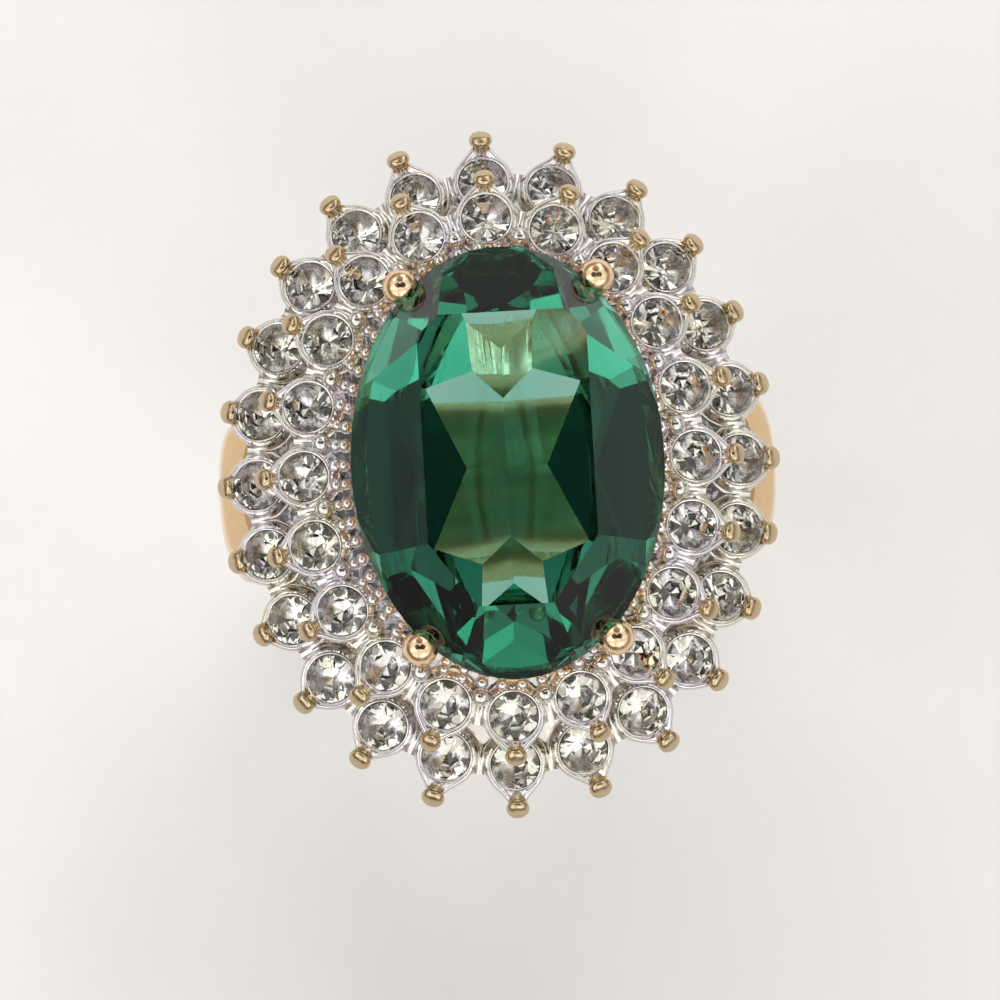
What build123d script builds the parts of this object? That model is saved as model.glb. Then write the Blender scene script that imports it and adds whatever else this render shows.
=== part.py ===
"""Cocktail ring: a green oval stone in a claw basket, on two oval tiers of clear crystals, on a gold shank.

Millimetres. The origin is the middle of the finger hole, the finger lies along Y, and the head is up, at +Z.
The head's long way runs along the finger.
"""

from build123d import *

import math
import os

# Finger hole and hoop
BORE_RADIUS = 8.65
HOOP_WALL = 1.45
HOOP_WIDTH = 7.0
HOOP_BACK_WIDTH = 3.2
HOOP_WIDENING = 105  # degrees round from the back over which the hoop reaches its full width
HOOP_CROWN = 0.5

# Saddle pad on top of the hoop
SADDLE_RISE = 0.25
SADDLE_HALF_X = 3.6
SADDLE_WIDTH = 6.4

# Flared shoulders, from the hoop's sides up to the lower tier
SHOULDER_FLARE = 1.7
SHOULDER_LEVEL = 4.6
SHOULDER_WALL = 1.5
SHOULDER_TOP_OUTSET = 0.5
SHOULDER_TOP_WIDTH = 5.0
SHOULDER_ROOT_LEVEL = -2.6
SHOULDER_ROOT_NARROWING = 0.15

# Heights of the head, each measured up from the piece below
BASE_HEIGHT = 1.65
TIER_RISE = 2.9
GIRDLE_RISE = 2.9

# Centre stone: an oval brilliant with a keel in place of a point
STONE_HALF_X = 6.5
STONE_HALF_Y = 9.0
STONE_GIRDLE = 0.36
STONE_CROWN = 2.2
STONE_PAVILION = 5.1
STONE_TABLE_INSET_X = 2.65
STONE_TABLE_INSET_Y = 2.9
STONE_KEEL_HALF = 2.3
SETTING_SHIFT_X = 0.3  # the centre setting stands this far to one side of the tiers' middle

# Crystals: round chatons, all one size
CRYSTAL_RADIUS = 1.0
CRYSTAL_GIRDLE = 0.12
CRYSTAL_CROWN = 0.34
CRYSTAL_PAVILION = 0.78
CRYSTAL_TABLE_INSET = 0.42
CRYSTAL_FACETS = 8
SEAT_CLEARANCE = 0.02
SEAT_FLOOR_RADIUS = 0.05

# Cups of the two tiers. A cup is a petal: a round wall that narrows outwards to its post.
CUP_WALL = 0.36
CUP_DEPTH = 1.25
CUP_TAPER = 7
PLATE_THICKNESS = 0.8
PLATE_INSET = 2.4
GIRDLE_ABOVE_PLATE = 1.22
POST_SHARE = 0.86
POST_FOOT_INSET = 0.8
BEAD_LIFT = 0.3

# Upper tier: the row of crystals next to the centre stone
UPPER_COUNT = 20
UPPER_OUTSET_X = 1.7
UPPER_OUTSET_Y = 1.45
UPPER_LEAN = 8
UPPER_POST = 1.68
UPPER_BEAD_RADIUS = 0.46

# Lower tier: the outer row, whose posts reach further at the oval's ends
LOWER_COUNT = 24
LOWER_OUTSET_X = 2.0
LOWER_OUTSET_Y = 1.9
LOWER_LEAN = 13
LOWER_POST_SIDE = 1.3
LOWER_POST_END = 1.85
LOWER_BEAD_RADIUS = 0.52

# Grains, milgrain collar and legs of the upper tier
GRAIN_RADIUS = 0.43
GRAIN_INSET = 0.62
COLLAR_GAP = 0.18
COLLAR_WALL = 0.42
COLLAR_HEIGHT = 1.75
MILGRAIN_COUNT = 40
MILGRAIN_RADIUS = 0.29
LEG_RADIUS = 0.48

# Open frame under the lower tier
BASE_RAIL_INSET_X = 4.8
BASE_RAIL_INSET_Y = 3.95
BASE_RAIL_WIDTH = 1.5
BASE_RAIL_HEIGHT = 0.9
STRUT_COUNT = 12
STRUT_RADIUS = 0.55
STRUT_TOP_INSET = 1.0

# Claw basket
RAIL_UNDERCUT = 0.15
RAIL_WALL = 1.0
CLAW_ANGLE = 53.5
CLAW_RADIUS = 0.5
CLAW_BALL_RADIUS = 0.76
CLAW_OUTSET = 0.33
CLAW_BALL_LIFT = 0.42

# What follows from the values above
HOOP_RADIUS = BORE_RADIUS + HOOP_WALL
SADDLE_LEVEL = HOOP_RADIUS + SADDLE_RISE
LOWER_TIER_LEVEL = SADDLE_LEVEL + BASE_HEIGHT
UPPER_TIER_LEVEL = LOWER_TIER_LEVEL + TIER_RISE
GIRDLE_LEVEL = UPPER_TIER_LEVEL + GIRDLE_RISE
UPPER_HALF_X = STONE_HALF_X + UPPER_OUTSET_X
UPPER_HALF_Y = STONE_HALF_Y + UPPER_OUTSET_Y
LOWER_HALF_X = UPPER_HALF_X + LOWER_OUTSET_X
LOWER_HALF_Y = UPPER_HALF_Y + LOWER_OUTSET_Y
CUP_RADIUS = CRYSTAL_RADIUS + CUP_WALL
UP = Vector(0, 0, 1)
FINGERWARD = Vector(0, 1, 0)


def oval_slab(half_x, half_y, low, high, shift=0.0):
    """An upright slab of oval outline between two levels."""
    outline = Pos(shift, 0, low) * Ellipse(half_x, half_y)
    return extrude(outline, high - low)


def oval_ring(half_x, half_y, wall, low, high, shift=0.0):
    """An upright oval wall, whose outer face has the half widths given."""
    outer = oval_slab(half_x, half_y, low, high, shift)
    return outer - oval_slab(half_x - wall, half_y - wall, low - 1, high + 1, shift)


def places_round(count, half_x, half_y, level, lean=0.0, start=0.0):
    """Planes evenly spaced along an oval, x outwards, z up and leaning outwards by lean degrees."""
    oval = Edge.make_ellipse(half_x, half_y)
    planes = []
    for step in range(count):
        share = ((step + start) / count) % 1.0
        point = oval.position_at(share)
        along = oval.tangent_at(share)
        outward = along.cross(UP).normalized()
        if outward.dot(point) < 0:
            outward = -outward
        tilt = math.radians(lean)
        x_dir = outward * math.cos(tilt) - UP * math.sin(tilt)
        z_dir = outward * math.sin(tilt) + UP * math.cos(tilt)
        planes.append(Plane(Vector(point.X, point.Y, level), x_dir=x_dir, z_dir=z_dir))
    return planes


def wire_between(low, high, radius):
    """A round wire from one point to another."""
    start, end = Vector(*low), Vector(*high)
    axis = end - start
    return extrude(Plane(start, z_dir=axis) * Circle(radius), axis.length)


def cut_by(blank, point, normal):
    """What is left of a blank below a flat facet through point, whose outside is along normal."""
    return split(blank, bisect_by=Plane(point, z_dir=normal), keep=Keep.BOTTOM)


# Gems


def round_crystal():
    """A chaton at the origin, its girdle's middle at z = 0 and its table up."""
    half = CRYSTAL_GIRDLE / 2
    height = CRYSTAL_CROWN + CRYSTAL_PAVILION + CRYSTAL_GIRDLE
    middle = Pos(0, 0, (CRYSTAL_CROWN - CRYSTAL_PAVILION) / 2)
    gem = middle * Cylinder(CRYSTAL_RADIUS, height)
    for step in range(CRYSTAL_FACETS):
        turn = math.radians((step + 0.5) * 360 / CRYSTAL_FACETS)
        out_x, out_y = math.cos(turn), math.sin(turn)
        edge = CRYSTAL_RADIUS * math.cos(math.pi / CRYSTAL_FACETS)
        crown_point = (edge * out_x, edge * out_y, half)
        gem = cut_by(gem, crown_point, (CRYSTAL_CROWN * out_x, CRYSTAL_CROWN * out_y, CRYSTAL_TABLE_INSET))
        back_point = (edge * out_x, edge * out_y, -half)
        back = (CRYSTAL_PAVILION * out_x, CRYSTAL_PAVILION * out_y, -CRYSTAL_RADIUS)
        gem = cut_by(gem, back_point, back)
    return gem


def oval_stone():
    """The centre stone at its place: crown mains and breaks, table, girdle, and a keeled pavilion."""
    half = STONE_GIRDLE / 2
    gem = oval_slab(STONE_HALF_X, STONE_HALF_Y, -half - STONE_PAVILION, half + STONE_CROWN)
    for step in range(8):
        turn = math.radians(step * 45)
        unit_x, unit_y = math.cos(turn), math.sin(turn)
        girdle = Vector(STONE_HALF_X * unit_x, STONE_HALF_Y * unit_y, half)
        table_x = (STONE_HALF_X - STONE_TABLE_INSET_X) * unit_x
        table_y = (STONE_HALF_Y - STONE_TABLE_INSET_Y) * unit_y
        table = Vector(table_x, table_y, half + STONE_CROWN)
        along = Vector(-STONE_HALF_X * unit_y, STONE_HALF_Y * unit_x, 0)
        gem = cut_by(gem, girdle, along.cross(table - girdle))
        low_girdle = Vector(girdle.X, girdle.Y, -half)
        keel_y = STONE_KEEL_HALF * max(-1, min(1, 1.6 * unit_y))
        keel = Vector(0, keel_y, -half - STONE_PAVILION)
        gem = cut_by(gem, low_girdle, (keel - low_girdle).cross(along))
    return Pos(SETTING_SHIFT_X, 0, GIRDLE_LEVEL) * gem


# Tiers


def seat_tool():
    """What is cut out of a cup for its crystal: a bored seat, open upwards, with a coned floor."""
    radius = CRYSTAL_RADIUS + SEAT_CLEARANCE
    half = CRYSTAL_GIRDLE / 2
    bore = Pos(0, 0, 1.0 - half - SEAT_CLEARANCE) * Cylinder(radius, 2.0)
    depth = CRYSTAL_PAVILION + SEAT_CLEARANCE
    floor = Plane((0, 0, -half - SEAT_CLEARANCE - depth))
    cone = Solid.make_cone(SEAT_FLOOR_RADIUS, radius, depth, floor)
    return bore + cone


def petal_cup(post_out, bead_radius):
    """One cup at the origin with its crystal's girdle at z = 0 and its post towards +x."""
    post_radius = bead_radius * POST_SHARE
    rounds = [
        Edge.make_circle(CUP_RADIUS),
        Edge.make_circle(post_radius, Plane((post_out, 0, 0))),
    ]
    petal = extrude(make_hull(rounds), -CUP_DEPTH, taper=CUP_TAPER)
    post_foot = (post_out - POST_FOOT_INSET, 0, -CUP_DEPTH)
    post = wire_between(post_foot, (post_out, 0, BEAD_LIFT), post_radius)
    bead = Pos(post_out, 0, BEAD_LIFT) * Sphere(bead_radius)
    return petal + post + bead


def lower_places():
    level = LOWER_TIER_LEVEL + GIRDLE_ABOVE_PLATE
    return places_round(LOWER_COUNT, LOWER_HALF_X, LOWER_HALF_Y, level, LOWER_LEAN)


def upper_places():
    level = UPPER_TIER_LEVEL + GIRDLE_ABOVE_PLATE
    return places_round(UPPER_COUNT, UPPER_HALF_X, UPPER_HALF_Y, level, UPPER_LEAN)


def tier_plate(half_x, half_y, level):
    """The flat oval band that joins a tier's cups."""
    return oval_ring(half_x, half_y, PLATE_INSET, level, level + PLATE_THICKNESS)


def lower_tier_part():
    tier = tier_plate(LOWER_HALF_X, LOWER_HALF_Y, LOWER_TIER_LEVEL)
    cups = []
    for place in lower_places():
        endward = abs(place.origin.Y) / LOWER_HALF_Y
        post_out = LOWER_POST_SIDE + (LOWER_POST_END - LOWER_POST_SIDE) * endward**2
        cups.append(place * petal_cup(post_out, LOWER_BEAD_RADIUS))
    seats = [place * seat_tool() for place in lower_places()]
    return tier + cups - seats


def upper_tier_part():
    tier = tier_plate(UPPER_HALF_X, UPPER_HALF_Y, UPPER_TIER_LEVEL)
    collar_x = STONE_HALF_X + COLLAR_GAP + COLLAR_WALL
    collar_y = STONE_HALF_Y + COLLAR_GAP + COLLAR_WALL
    collar_top = UPPER_TIER_LEVEL + COLLAR_HEIGHT
    additions = [oval_ring(collar_x, collar_y, COLLAR_WALL, UPPER_TIER_LEVEL, collar_top)]
    collar_middle = COLLAR_WALL / 2
    crest_x, crest_y = collar_x - collar_middle, collar_y - collar_middle
    for place in places_round(MILGRAIN_COUNT, crest_x, crest_y, collar_top):
        additions.append(Pos(*place.origin) * Sphere(MILGRAIN_RADIUS))
    grain_x, grain_y = UPPER_HALF_X - GRAIN_INSET, UPPER_HALF_Y - GRAIN_INSET
    grain_level = UPPER_TIER_LEVEL + GIRDLE_ABOVE_PLATE
    for place in places_round(UPPER_COUNT, grain_x, grain_y, grain_level, start=0.5):
        additions.append(Pos(*place.origin) * Sphere(GRAIN_RADIUS))
        x, y = place.origin.X, place.origin.Y
        leg_low = LOWER_TIER_LEVEL + PLATE_THICKNESS
        additions.append(wire_between((x, y, leg_low), (x, y, grain_level), LEG_RADIUS))
    for place in upper_places():
        additions.append(place * petal_cup(UPPER_POST, UPPER_BEAD_RADIUS))
    seats = [place * seat_tool() for place in upper_places()]
    return tier + additions - seats


# Basket, base frame and shank


def basket_part(stone):
    """The bearing rail under the girdle, and four claws that end in balls on the crown."""
    rail_x = STONE_HALF_X - RAIL_UNDERCUT
    rail_y = STONE_HALF_Y - RAIL_UNDERCUT
    rail_low = UPPER_TIER_LEVEL
    basket = oval_ring(rail_x, rail_y, RAIL_WALL, rail_low, GIRDLE_LEVEL, SETTING_SHIFT_X)
    claws = []
    for turn in (CLAW_ANGLE, 180 - CLAW_ANGLE, 180 + CLAW_ANGLE, -CLAW_ANGLE):
        unit_x, unit_y = math.cos(math.radians(turn)), math.sin(math.radians(turn))
        top_x = SETTING_SHIFT_X + (STONE_HALF_X + CLAW_OUTSET) * unit_x
        top_y = (STONE_HALF_Y + CLAW_OUTSET) * unit_y
        foot_x = SETTING_SHIFT_X + (rail_x - RAIL_WALL / 2) * unit_x
        foot_y = (rail_y - RAIL_WALL / 2) * unit_y
        top = (top_x, top_y, GIRDLE_LEVEL + CLAW_BALL_LIFT)
        claws.append(wire_between((foot_x, foot_y, rail_low), top, CLAW_RADIUS))
        claws.append(Pos(*top) * Sphere(CLAW_BALL_RADIUS))
    return basket + claws - stone


def head_base_part():
    """An oval rail on the saddle, with struts that fan out to the lower tier."""
    rail_top = SADDLE_LEVEL + BASE_RAIL_HEIGHT
    rail_x = LOWER_HALF_X - BASE_RAIL_INSET_X
    rail_y = LOWER_HALF_Y - BASE_RAIL_INSET_Y
    rail = oval_ring(rail_x, rail_y, BASE_RAIL_WIDTH, SADDLE_LEVEL, rail_top)
    inset = BASE_RAIL_WIDTH / 2
    foot_level = SADDLE_LEVEL + BASE_RAIL_HEIGHT / 2 + SADDLE_RISE
    feet = places_round(STRUT_COUNT, rail_x - inset, rail_y - inset, foot_level, start=0.5)
    head_x, head_y = LOWER_HALF_X - STRUT_TOP_INSET, LOWER_HALF_Y - STRUT_TOP_INSET
    head_level = LOWER_TIER_LEVEL + STRUT_RADIUS
    heads = places_round(STRUT_COUNT, head_x, head_y, head_level, start=0.5)
    struts = []
    for foot, head in zip(feet, heads):
        struts.append(wire_between(foot.origin, head.origin, STRUT_RADIUS))
    slab = oval_slab(2 * LOWER_HALF_X, 2 * LOWER_HALF_Y, SADDLE_LEVEL, LOWER_TIER_LEVEL)
    return (rail + struts) & slab


def crowned_section(place, inside, outside, width):
    """A band's section: flat inside and at the sides, crowned outside. The plane's x points outwards."""
    half = width / 2
    side = outside - HOOP_CROWN
    flats = Polyline((side, -half), (inside, -half), (inside, half), (side, half))
    crown = ThreePointArc((side, half), (outside, 0), (side, -half))
    return place * make_face([*flats.edges(), *crown.edges()])


def smooth_share(value):
    """From 0 to 1 with a gentle start and end."""
    held = max(0.0, min(1.0, value))
    return held * held * (3 - 2 * held)


def hoop_half():
    """The right half of the hoop, lofted from the middle of the back, up one side, to the top."""
    sections = []
    for turn in range(-90, 91, 30):
        angle = math.radians(turn)
        outward = Vector(math.cos(angle), 0, math.sin(angle))
        share = smooth_share((turn + 90) / HOOP_WIDENING)
        width = HOOP_BACK_WIDTH + (HOOP_WIDTH - HOOP_BACK_WIDTH) * share
        place = Plane((0, 0, 0), x_dir=outward, z_dir=outward.cross(FINGERWARD))
        sections.append(crowned_section(place, BORE_RADIUS - HOOP_WALL, HOOP_RADIUS, width))
    return loft(sections)


def shoulder_arm():
    """The right-hand shoulder: it leaves the hoop's side, flares out, and turns in under the tier."""
    root_x = math.sqrt(HOOP_RADIUS**2 - SHOULDER_ROOT_LEVEL**2)
    middle = SHOULDER_WALL / 2
    reach = HOOP_RADIUS + SHOULDER_FLARE - middle
    top_reach = LOWER_HALF_X + SHOULDER_TOP_OUTSET - middle
    path = Spline(
        (root_x - middle, 0, SHOULDER_ROOT_LEVEL),
        (reach, 0, SHOULDER_LEVEL),
        (top_reach, 0, LOWER_TIER_LEVEL),
        tangents=[(-SHOULDER_ROOT_LEVEL, 0, root_x), (-0.45, 0, 1)],
    )
    sections = []
    for share in (0, 0.25, 0.5, 0.75, 1):
        upward = path.tangent_at(share)
        outward = FINGERWARD.cross(upward)
        width = HOOP_WIDTH + (SHOULDER_TOP_WIDTH - HOOP_WIDTH) * smooth_share(2 * share - 1)
        width *= 1 - SHOULDER_ROOT_NARROWING * (1 - smooth_share(2 * share))
        place = Plane(path.position_at(share), x_dir=outward, z_dir=upward)
        sections.append(crowned_section(place, -middle, middle, width))
    return loft(sections)


def shank_part(neighbours):
    """Hoop, saddle pad and two shoulders in one casting, bored for the finger."""
    half = hoop_half() + shoulder_arm()
    saddle_height = SADDLE_LEVEL - BORE_RADIUS
    saddle = Box(2 * SADDLE_HALF_X, SADDLE_WIDTH, saddle_height)
    body = half + mirror(half, about=Plane.YZ) + Pos(0, 0, BORE_RADIUS + saddle_height / 2) * saddle
    body -= Cylinder(BORE_RADIUS, 2 * HOOP_WIDTH).rotate(Axis.X, 90)
    body &= oval_slab(2 * LOWER_HALF_X, 2 * LOWER_HALF_Y, -2 * HOOP_RADIUS, LOWER_TIER_LEVEL)
    return body - neighbours


def write(name, shape):
    export_step(shape, f"parts/{name}.step")
    print(f"{name}: {len(shape.solids())} solid, {shape.volume:.2f} mm3")


def main():
    os.makedirs("parts", exist_ok=True)
    crystal = round_crystal()
    outer = [place * crystal for place in lower_places()]
    inner = [place * crystal for place in upper_places()]
    stone = oval_stone()
    basket = basket_part(stone)
    lower_tier = lower_tier_part()
    upper_tier = upper_tier_part() - basket - lower_tier
    base = head_base_part() - lower_tier
    shank = shank_part([lower_tier, base])
    write("shank", shank)
    write("head_base", base)
    write("lower_tier", lower_tier)
    write("upper_tier", upper_tier)
    write("centre_basket", basket)
    write("centre_stone", stone)
    for number, gem in enumerate(outer, 1):
        write(f"outer_crystal_{number:02}", gem)
    for number, gem in enumerate(inner, 1):
        write(f"inner_crystal_{number:02}", gem)


main()
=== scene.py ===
# %% [markdown]
# # A cocktail ring, finished in Blender
#
# The ring is a stack: a gold shank, an open gold base, two oval tiers of clear crystals, a claw basket
# and one large green stone. Its design already exists as plain solids, which fix every size and place.
# Here each of those solids gets the shape that casting, plating, cutting and polishing give the real one.
# Every place is measured from the loaded solids, so nothing has to be fitted by eye.

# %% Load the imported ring
import math
import random

import bmesh
import bpy
import numpy as np
from mathutils import Matrix, Vector


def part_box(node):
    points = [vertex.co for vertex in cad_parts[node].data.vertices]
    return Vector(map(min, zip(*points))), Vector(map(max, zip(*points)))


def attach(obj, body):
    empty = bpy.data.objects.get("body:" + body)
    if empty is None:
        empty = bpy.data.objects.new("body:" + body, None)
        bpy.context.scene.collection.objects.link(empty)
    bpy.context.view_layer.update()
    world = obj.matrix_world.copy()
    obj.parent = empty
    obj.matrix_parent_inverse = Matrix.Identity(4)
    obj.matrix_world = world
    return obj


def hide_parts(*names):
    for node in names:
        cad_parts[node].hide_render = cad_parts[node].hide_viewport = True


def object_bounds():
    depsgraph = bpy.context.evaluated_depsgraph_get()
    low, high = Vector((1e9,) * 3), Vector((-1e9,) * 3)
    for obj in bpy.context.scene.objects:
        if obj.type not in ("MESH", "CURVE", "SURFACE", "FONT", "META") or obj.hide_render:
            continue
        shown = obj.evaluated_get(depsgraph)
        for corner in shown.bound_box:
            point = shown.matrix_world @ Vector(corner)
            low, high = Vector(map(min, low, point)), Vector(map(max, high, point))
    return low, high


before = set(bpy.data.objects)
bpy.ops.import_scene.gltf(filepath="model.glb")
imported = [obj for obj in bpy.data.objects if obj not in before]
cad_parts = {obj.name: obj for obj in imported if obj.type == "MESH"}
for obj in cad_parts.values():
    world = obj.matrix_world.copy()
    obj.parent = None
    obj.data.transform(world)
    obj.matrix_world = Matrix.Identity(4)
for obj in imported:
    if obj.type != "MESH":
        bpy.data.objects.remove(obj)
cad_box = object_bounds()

MM = 0.001
print("nodes in the ring:", len(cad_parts))

# %% [markdown]
# ## Reading the setting plan off the crystals
#
# A setter works from the middle and the axis of each seat. Every crystal here is a faceted solid whose
# largest flat face is its table, so the normal of that face is the crystal's axis. The widest points
# around the axis give the radius and the level of the girdle, which is the crystal's rim.


# %% Measure one crystal
def gem_place(node):
    """The middle of a gem's girdle, its axis, and its radius."""
    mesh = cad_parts[node].data
    mesh.calc_loop_triangles()
    areas = {}
    for triangle in mesh.loop_triangles:
        facing = tuple(round(value, 2) for value in triangle.normal)
        areas[facing] = areas.get(facing, 0) + triangle.area
    axis = Vector(max(areas, key=areas.get)).normalized()
    table = [t for t in mesh.loop_triangles if t.normal.dot(axis) > 0.999]
    area = sum(t.area for t in table)
    centre = sum((t.center * t.area for t in table), Vector()) / area
    points = [v.co - centre for v in mesh.vertices]
    reach = [(p - axis * p.dot(axis)).length for p in points]
    radius = max(reach)
    levels = [p.dot(axis) for p, r in zip(points, reach) if r > 0.98 * radius]
    return centre + axis * (min(levels) + max(levels)) / 2, axis, radius


# %% Measure both rows of crystals
outer_names = sorted(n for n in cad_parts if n.startswith("outer_crystal"))
inner_names = sorted(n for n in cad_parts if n.startswith("inner_crystal"))
outer_places = [gem_place(n) for n in outer_names]
inner_places = [gem_place(n) for n in inner_names]
crystal_radius = outer_places[0][2]
print("outer row:", len(outer_places), "inner row:", len(inner_places), "radius mm:", crystal_radius / MM)

# %% Measure the centre stone and the levels of the other pieces
stone_low, stone_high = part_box("centre_stone")
stone_middle = (stone_low + stone_high) / 2
stone_half_x = (stone_high.x - stone_low.x) / 2
stone_half_y = (stone_high.y - stone_low.y) / 2
stone_side = [v.co.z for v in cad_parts["centre_stone"].data.vertices
              if abs(v.co.y) > stone_half_y - 0.05 * MM]
girdle_low, girdle_high = min(stone_side), max(stone_side)
upper_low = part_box("upper_tier")[0]
lower_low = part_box("lower_tier")[0]
shank_low, shank_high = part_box("shank")
base_low, base_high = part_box("head_base")
bore_radius = min(math.hypot(v.co.x, v.co.z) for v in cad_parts["shank"].data.vertices)
print("stone half widths mm:", stone_half_x / MM, stone_half_y / MM)
print("girdle from and to mm:", girdle_low / MM, girdle_high / MM)
print("finger hole radius mm:", bore_radius / MM)

# %% [markdown]
# ## The camera
#
# Jewellery is shown from a little in front of straight above, with a long lens so that the far side of
# the stone isn't smaller than the near side. The ring leans a few degrees to the left in the frame.

# %% Place the camera
SENSOR = 36.0
CAMERA_DISTANCE = 260 * MM
FRAME_WIDTH = 41.4 * MM
CAMERA_TILT = math.radians(4.6)
CAMERA_SIDE = math.radians(1.0)
CAMERA_ROLL = math.radians(3.2)

aim = Vector((stone_middle.x - 0.41 * MM, stone_middle.y - 1.55 * MM, girdle_high))
to_camera = Vector((-math.sin(CAMERA_SIDE), -math.sin(CAMERA_TILT), 1.0)).normalized()
camera_data = bpy.data.cameras.new("camera")
camera_data.sensor_width = SENSOR
camera_data.lens = SENSOR * CAMERA_DISTANCE / FRAME_WIDTH
camera_data.clip_start = 0.01
camera = bpy.data.objects.new("camera", camera_data)
bpy.context.scene.collection.objects.link(camera)
picture_right = Vector((0, 1, 0)).cross(to_camera).normalized()
picture_up = to_camera.cross(picture_right)
level_turn = Matrix((picture_right, picture_up, to_camera)).transposed().to_4x4()
camera.matrix_world = (Matrix.Translation(aim + to_camera * CAMERA_DISTANCE) @ level_turn
                       @ Matrix.Rotation(-CAMERA_ROLL, 4, "Z"))
bpy.context.scene.camera = camera
print("lens mm:", round(camera_data.lens, 1))

# %% [markdown]
# ## Small helpers for nodes
#
# Materials are graphs of nodes. These helpers keep each graph short to write: one adds a node and sets
# its inputs, one joins two sockets, and one starts a group with named inputs and outputs.


# %% Node helpers
def add(tree, kind, **settings):
    """A node with its inputs or properties set by name."""
    node = tree.nodes.new(kind)
    for name, value in settings.items():
        label = name.replace("_", " ")
        if label in node.inputs:
            node.inputs[label].default_value = value
        else:
            setattr(node, name, value)
    return node


def math_node(tree, operation, first, second=None):
    """A Math node fed by sockets or plain numbers. It gives back its output."""
    node = add(tree, "ShaderNodeMath", operation=operation)
    for place, value in enumerate((first, second)):
        if isinstance(value, bpy.types.NodeSocket):
            tree.links.new(value, node.inputs[place])
        elif value is not None:
            node.inputs[place].default_value = value
    return node.outputs[0]


def fit(tree, value, low, high, to_low=0.0, to_high=1.0):
    """Moves a value from one range to another, with soft ends."""
    node = add(tree, "ShaderNodeMapRange", interpolation_type="SMOOTHSTEP")
    tree.links.new(value, node.inputs["Value"])
    for name, number in (("From Min", low), ("From Max", high), ("To Min", to_low), ("To Max", to_high)):
        if isinstance(number, bpy.types.NodeSocket):
            tree.links.new(number, node.inputs[name])
        else:
            node.inputs[name].default_value = number
    return node.outputs["Result"]


def mix(tree, share, first, second):
    """Blends two colours by a mask."""
    node = add(tree, "ShaderNodeMix", data_type="RGBA")
    tree.links.new(share, node.inputs["Factor"])
    for socket, value in ((node.inputs[6], first), (node.inputs[7], second)):
        if isinstance(value, bpy.types.NodeSocket):
            tree.links.new(value, socket)
        else:
            socket.default_value = (*value, 1.0)
    return node.outputs[2]


def new_group(name, inputs, outputs):
    """A shader node group with named float inputs and outputs."""
    tree = bpy.data.node_groups.new(name, "ShaderNodeTree")
    for label, value in inputs.items():
        socket = tree.interface.new_socket(label, in_out="INPUT", socket_type="NodeSocketFloat")
        socket.default_value = value
    for label in outputs:
        tree.interface.new_socket(label, in_out="OUTPUT", socket_type="NodeSocketFloat")
    return tree, tree.nodes.new("NodeGroupInput"), tree.nodes.new("NodeGroupOutput")


def place_group(tree, group, **values):
    """Puts a group into a material with its own values."""
    node = add(tree, "ShaderNodeGroup", node_tree=group)
    for name, value in values.items():
        node.inputs[name.replace("_", " ")].default_value = value
    return node


def new_material(name, **settings):
    """A material with one Principled shader, whose plain values are set on its own sockets."""
    material = bpy.data.materials.new(name)
    material.use_nodes = True
    tree = material.node_tree
    shader = tree.nodes["Principled BSDF"]
    for label, value in settings.items():
        shader.inputs[label.replace("_", " ")].default_value = value
    return material, tree, shader


# %% [markdown]
# ## Effects that several finishes share
#
# Cast and plated metal is never a perfect mirror. Three small groups carry what all of it has in common:
# the soft ripple that is left from the wax, the fine scratches of wear, and the bright worn edges, with
# a darker colour in the concave corners. Each group only gives heights and masks, and each metal uses them
# with its own strength. Noise works in metres here, so a scale of 1000 has one lump to each millimetre.


# %% Cast ripple
def make_ripple():
    tree, inputs, outputs = new_group("Cast ripple", {"Lumps": 900.0, "Grain": 5200.0}, ["Height", "Rough"])
    spot = add(tree, "ShaderNodeTexCoord").outputs["Object"]
    broad = add(tree, "ShaderNodeTexNoise", Detail=2.0, Roughness=0.45)
    fine = add(tree, "ShaderNodeTexNoise", Detail=3.0, Roughness=0.6)
    for node, label in ((broad, "Lumps"), (fine, "Grain")):
        tree.links.new(spot, node.inputs["Vector"])
        tree.links.new(inputs.outputs[label], node.inputs["Scale"])
    small = math_node(tree, "MULTIPLY", fine.outputs["Fac"], 0.12)
    tree.links.new(math_node(tree, "ADD", broad.outputs["Fac"], small), outputs.inputs["Height"])
    tree.links.new(fit(tree, fine.outputs["Fac"], 0.35, 0.7), outputs.inputs["Rough"])
    return tree


ripple = make_ripple()


# %% Fine scratches
def make_scratches():
    tree, inputs, outputs = new_group("Fine scratches", {"Scale": 700.0, "Thinness": 0.06},
                                      ["Height", "Mask"])
    spot = add(tree, "ShaderNodeTexCoord").outputs["Object"]
    total = None
    for turn in (0.3, 1.2, 2.3):
        mapping = add(tree, "ShaderNodeMapping")
        mapping.inputs["Rotation"].default_value = (turn, 0.7 * turn, 1.7 * turn)
        mapping.inputs["Scale"].default_value = (1.0, 0.06, 1.0)
        noise = add(tree, "ShaderNodeTexNoise", Detail=1.0, Distortion=0.4)
        tree.links.new(spot, mapping.inputs["Vector"])
        tree.links.new(mapping.outputs["Vector"], noise.inputs["Vector"])
        tree.links.new(inputs.outputs["Scale"], noise.inputs["Scale"])
        off = math_node(tree, "ABSOLUTE", math_node(tree, "SUBTRACT", noise.outputs["Fac"], 0.5))
        limit = math_node(tree, "MULTIPLY", inputs.outputs["Thinness"], 0.08)
        line = math_node(tree, "LESS_THAN", off, limit)
        total = line if total is None else math_node(tree, "MAXIMUM", total, line)
    tree.links.new(total, outputs.inputs["Mask"])
    tree.links.new(math_node(tree, "MULTIPLY", total, -1.0), outputs.inputs["Height"])
    return tree


scratches = make_scratches()
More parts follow.
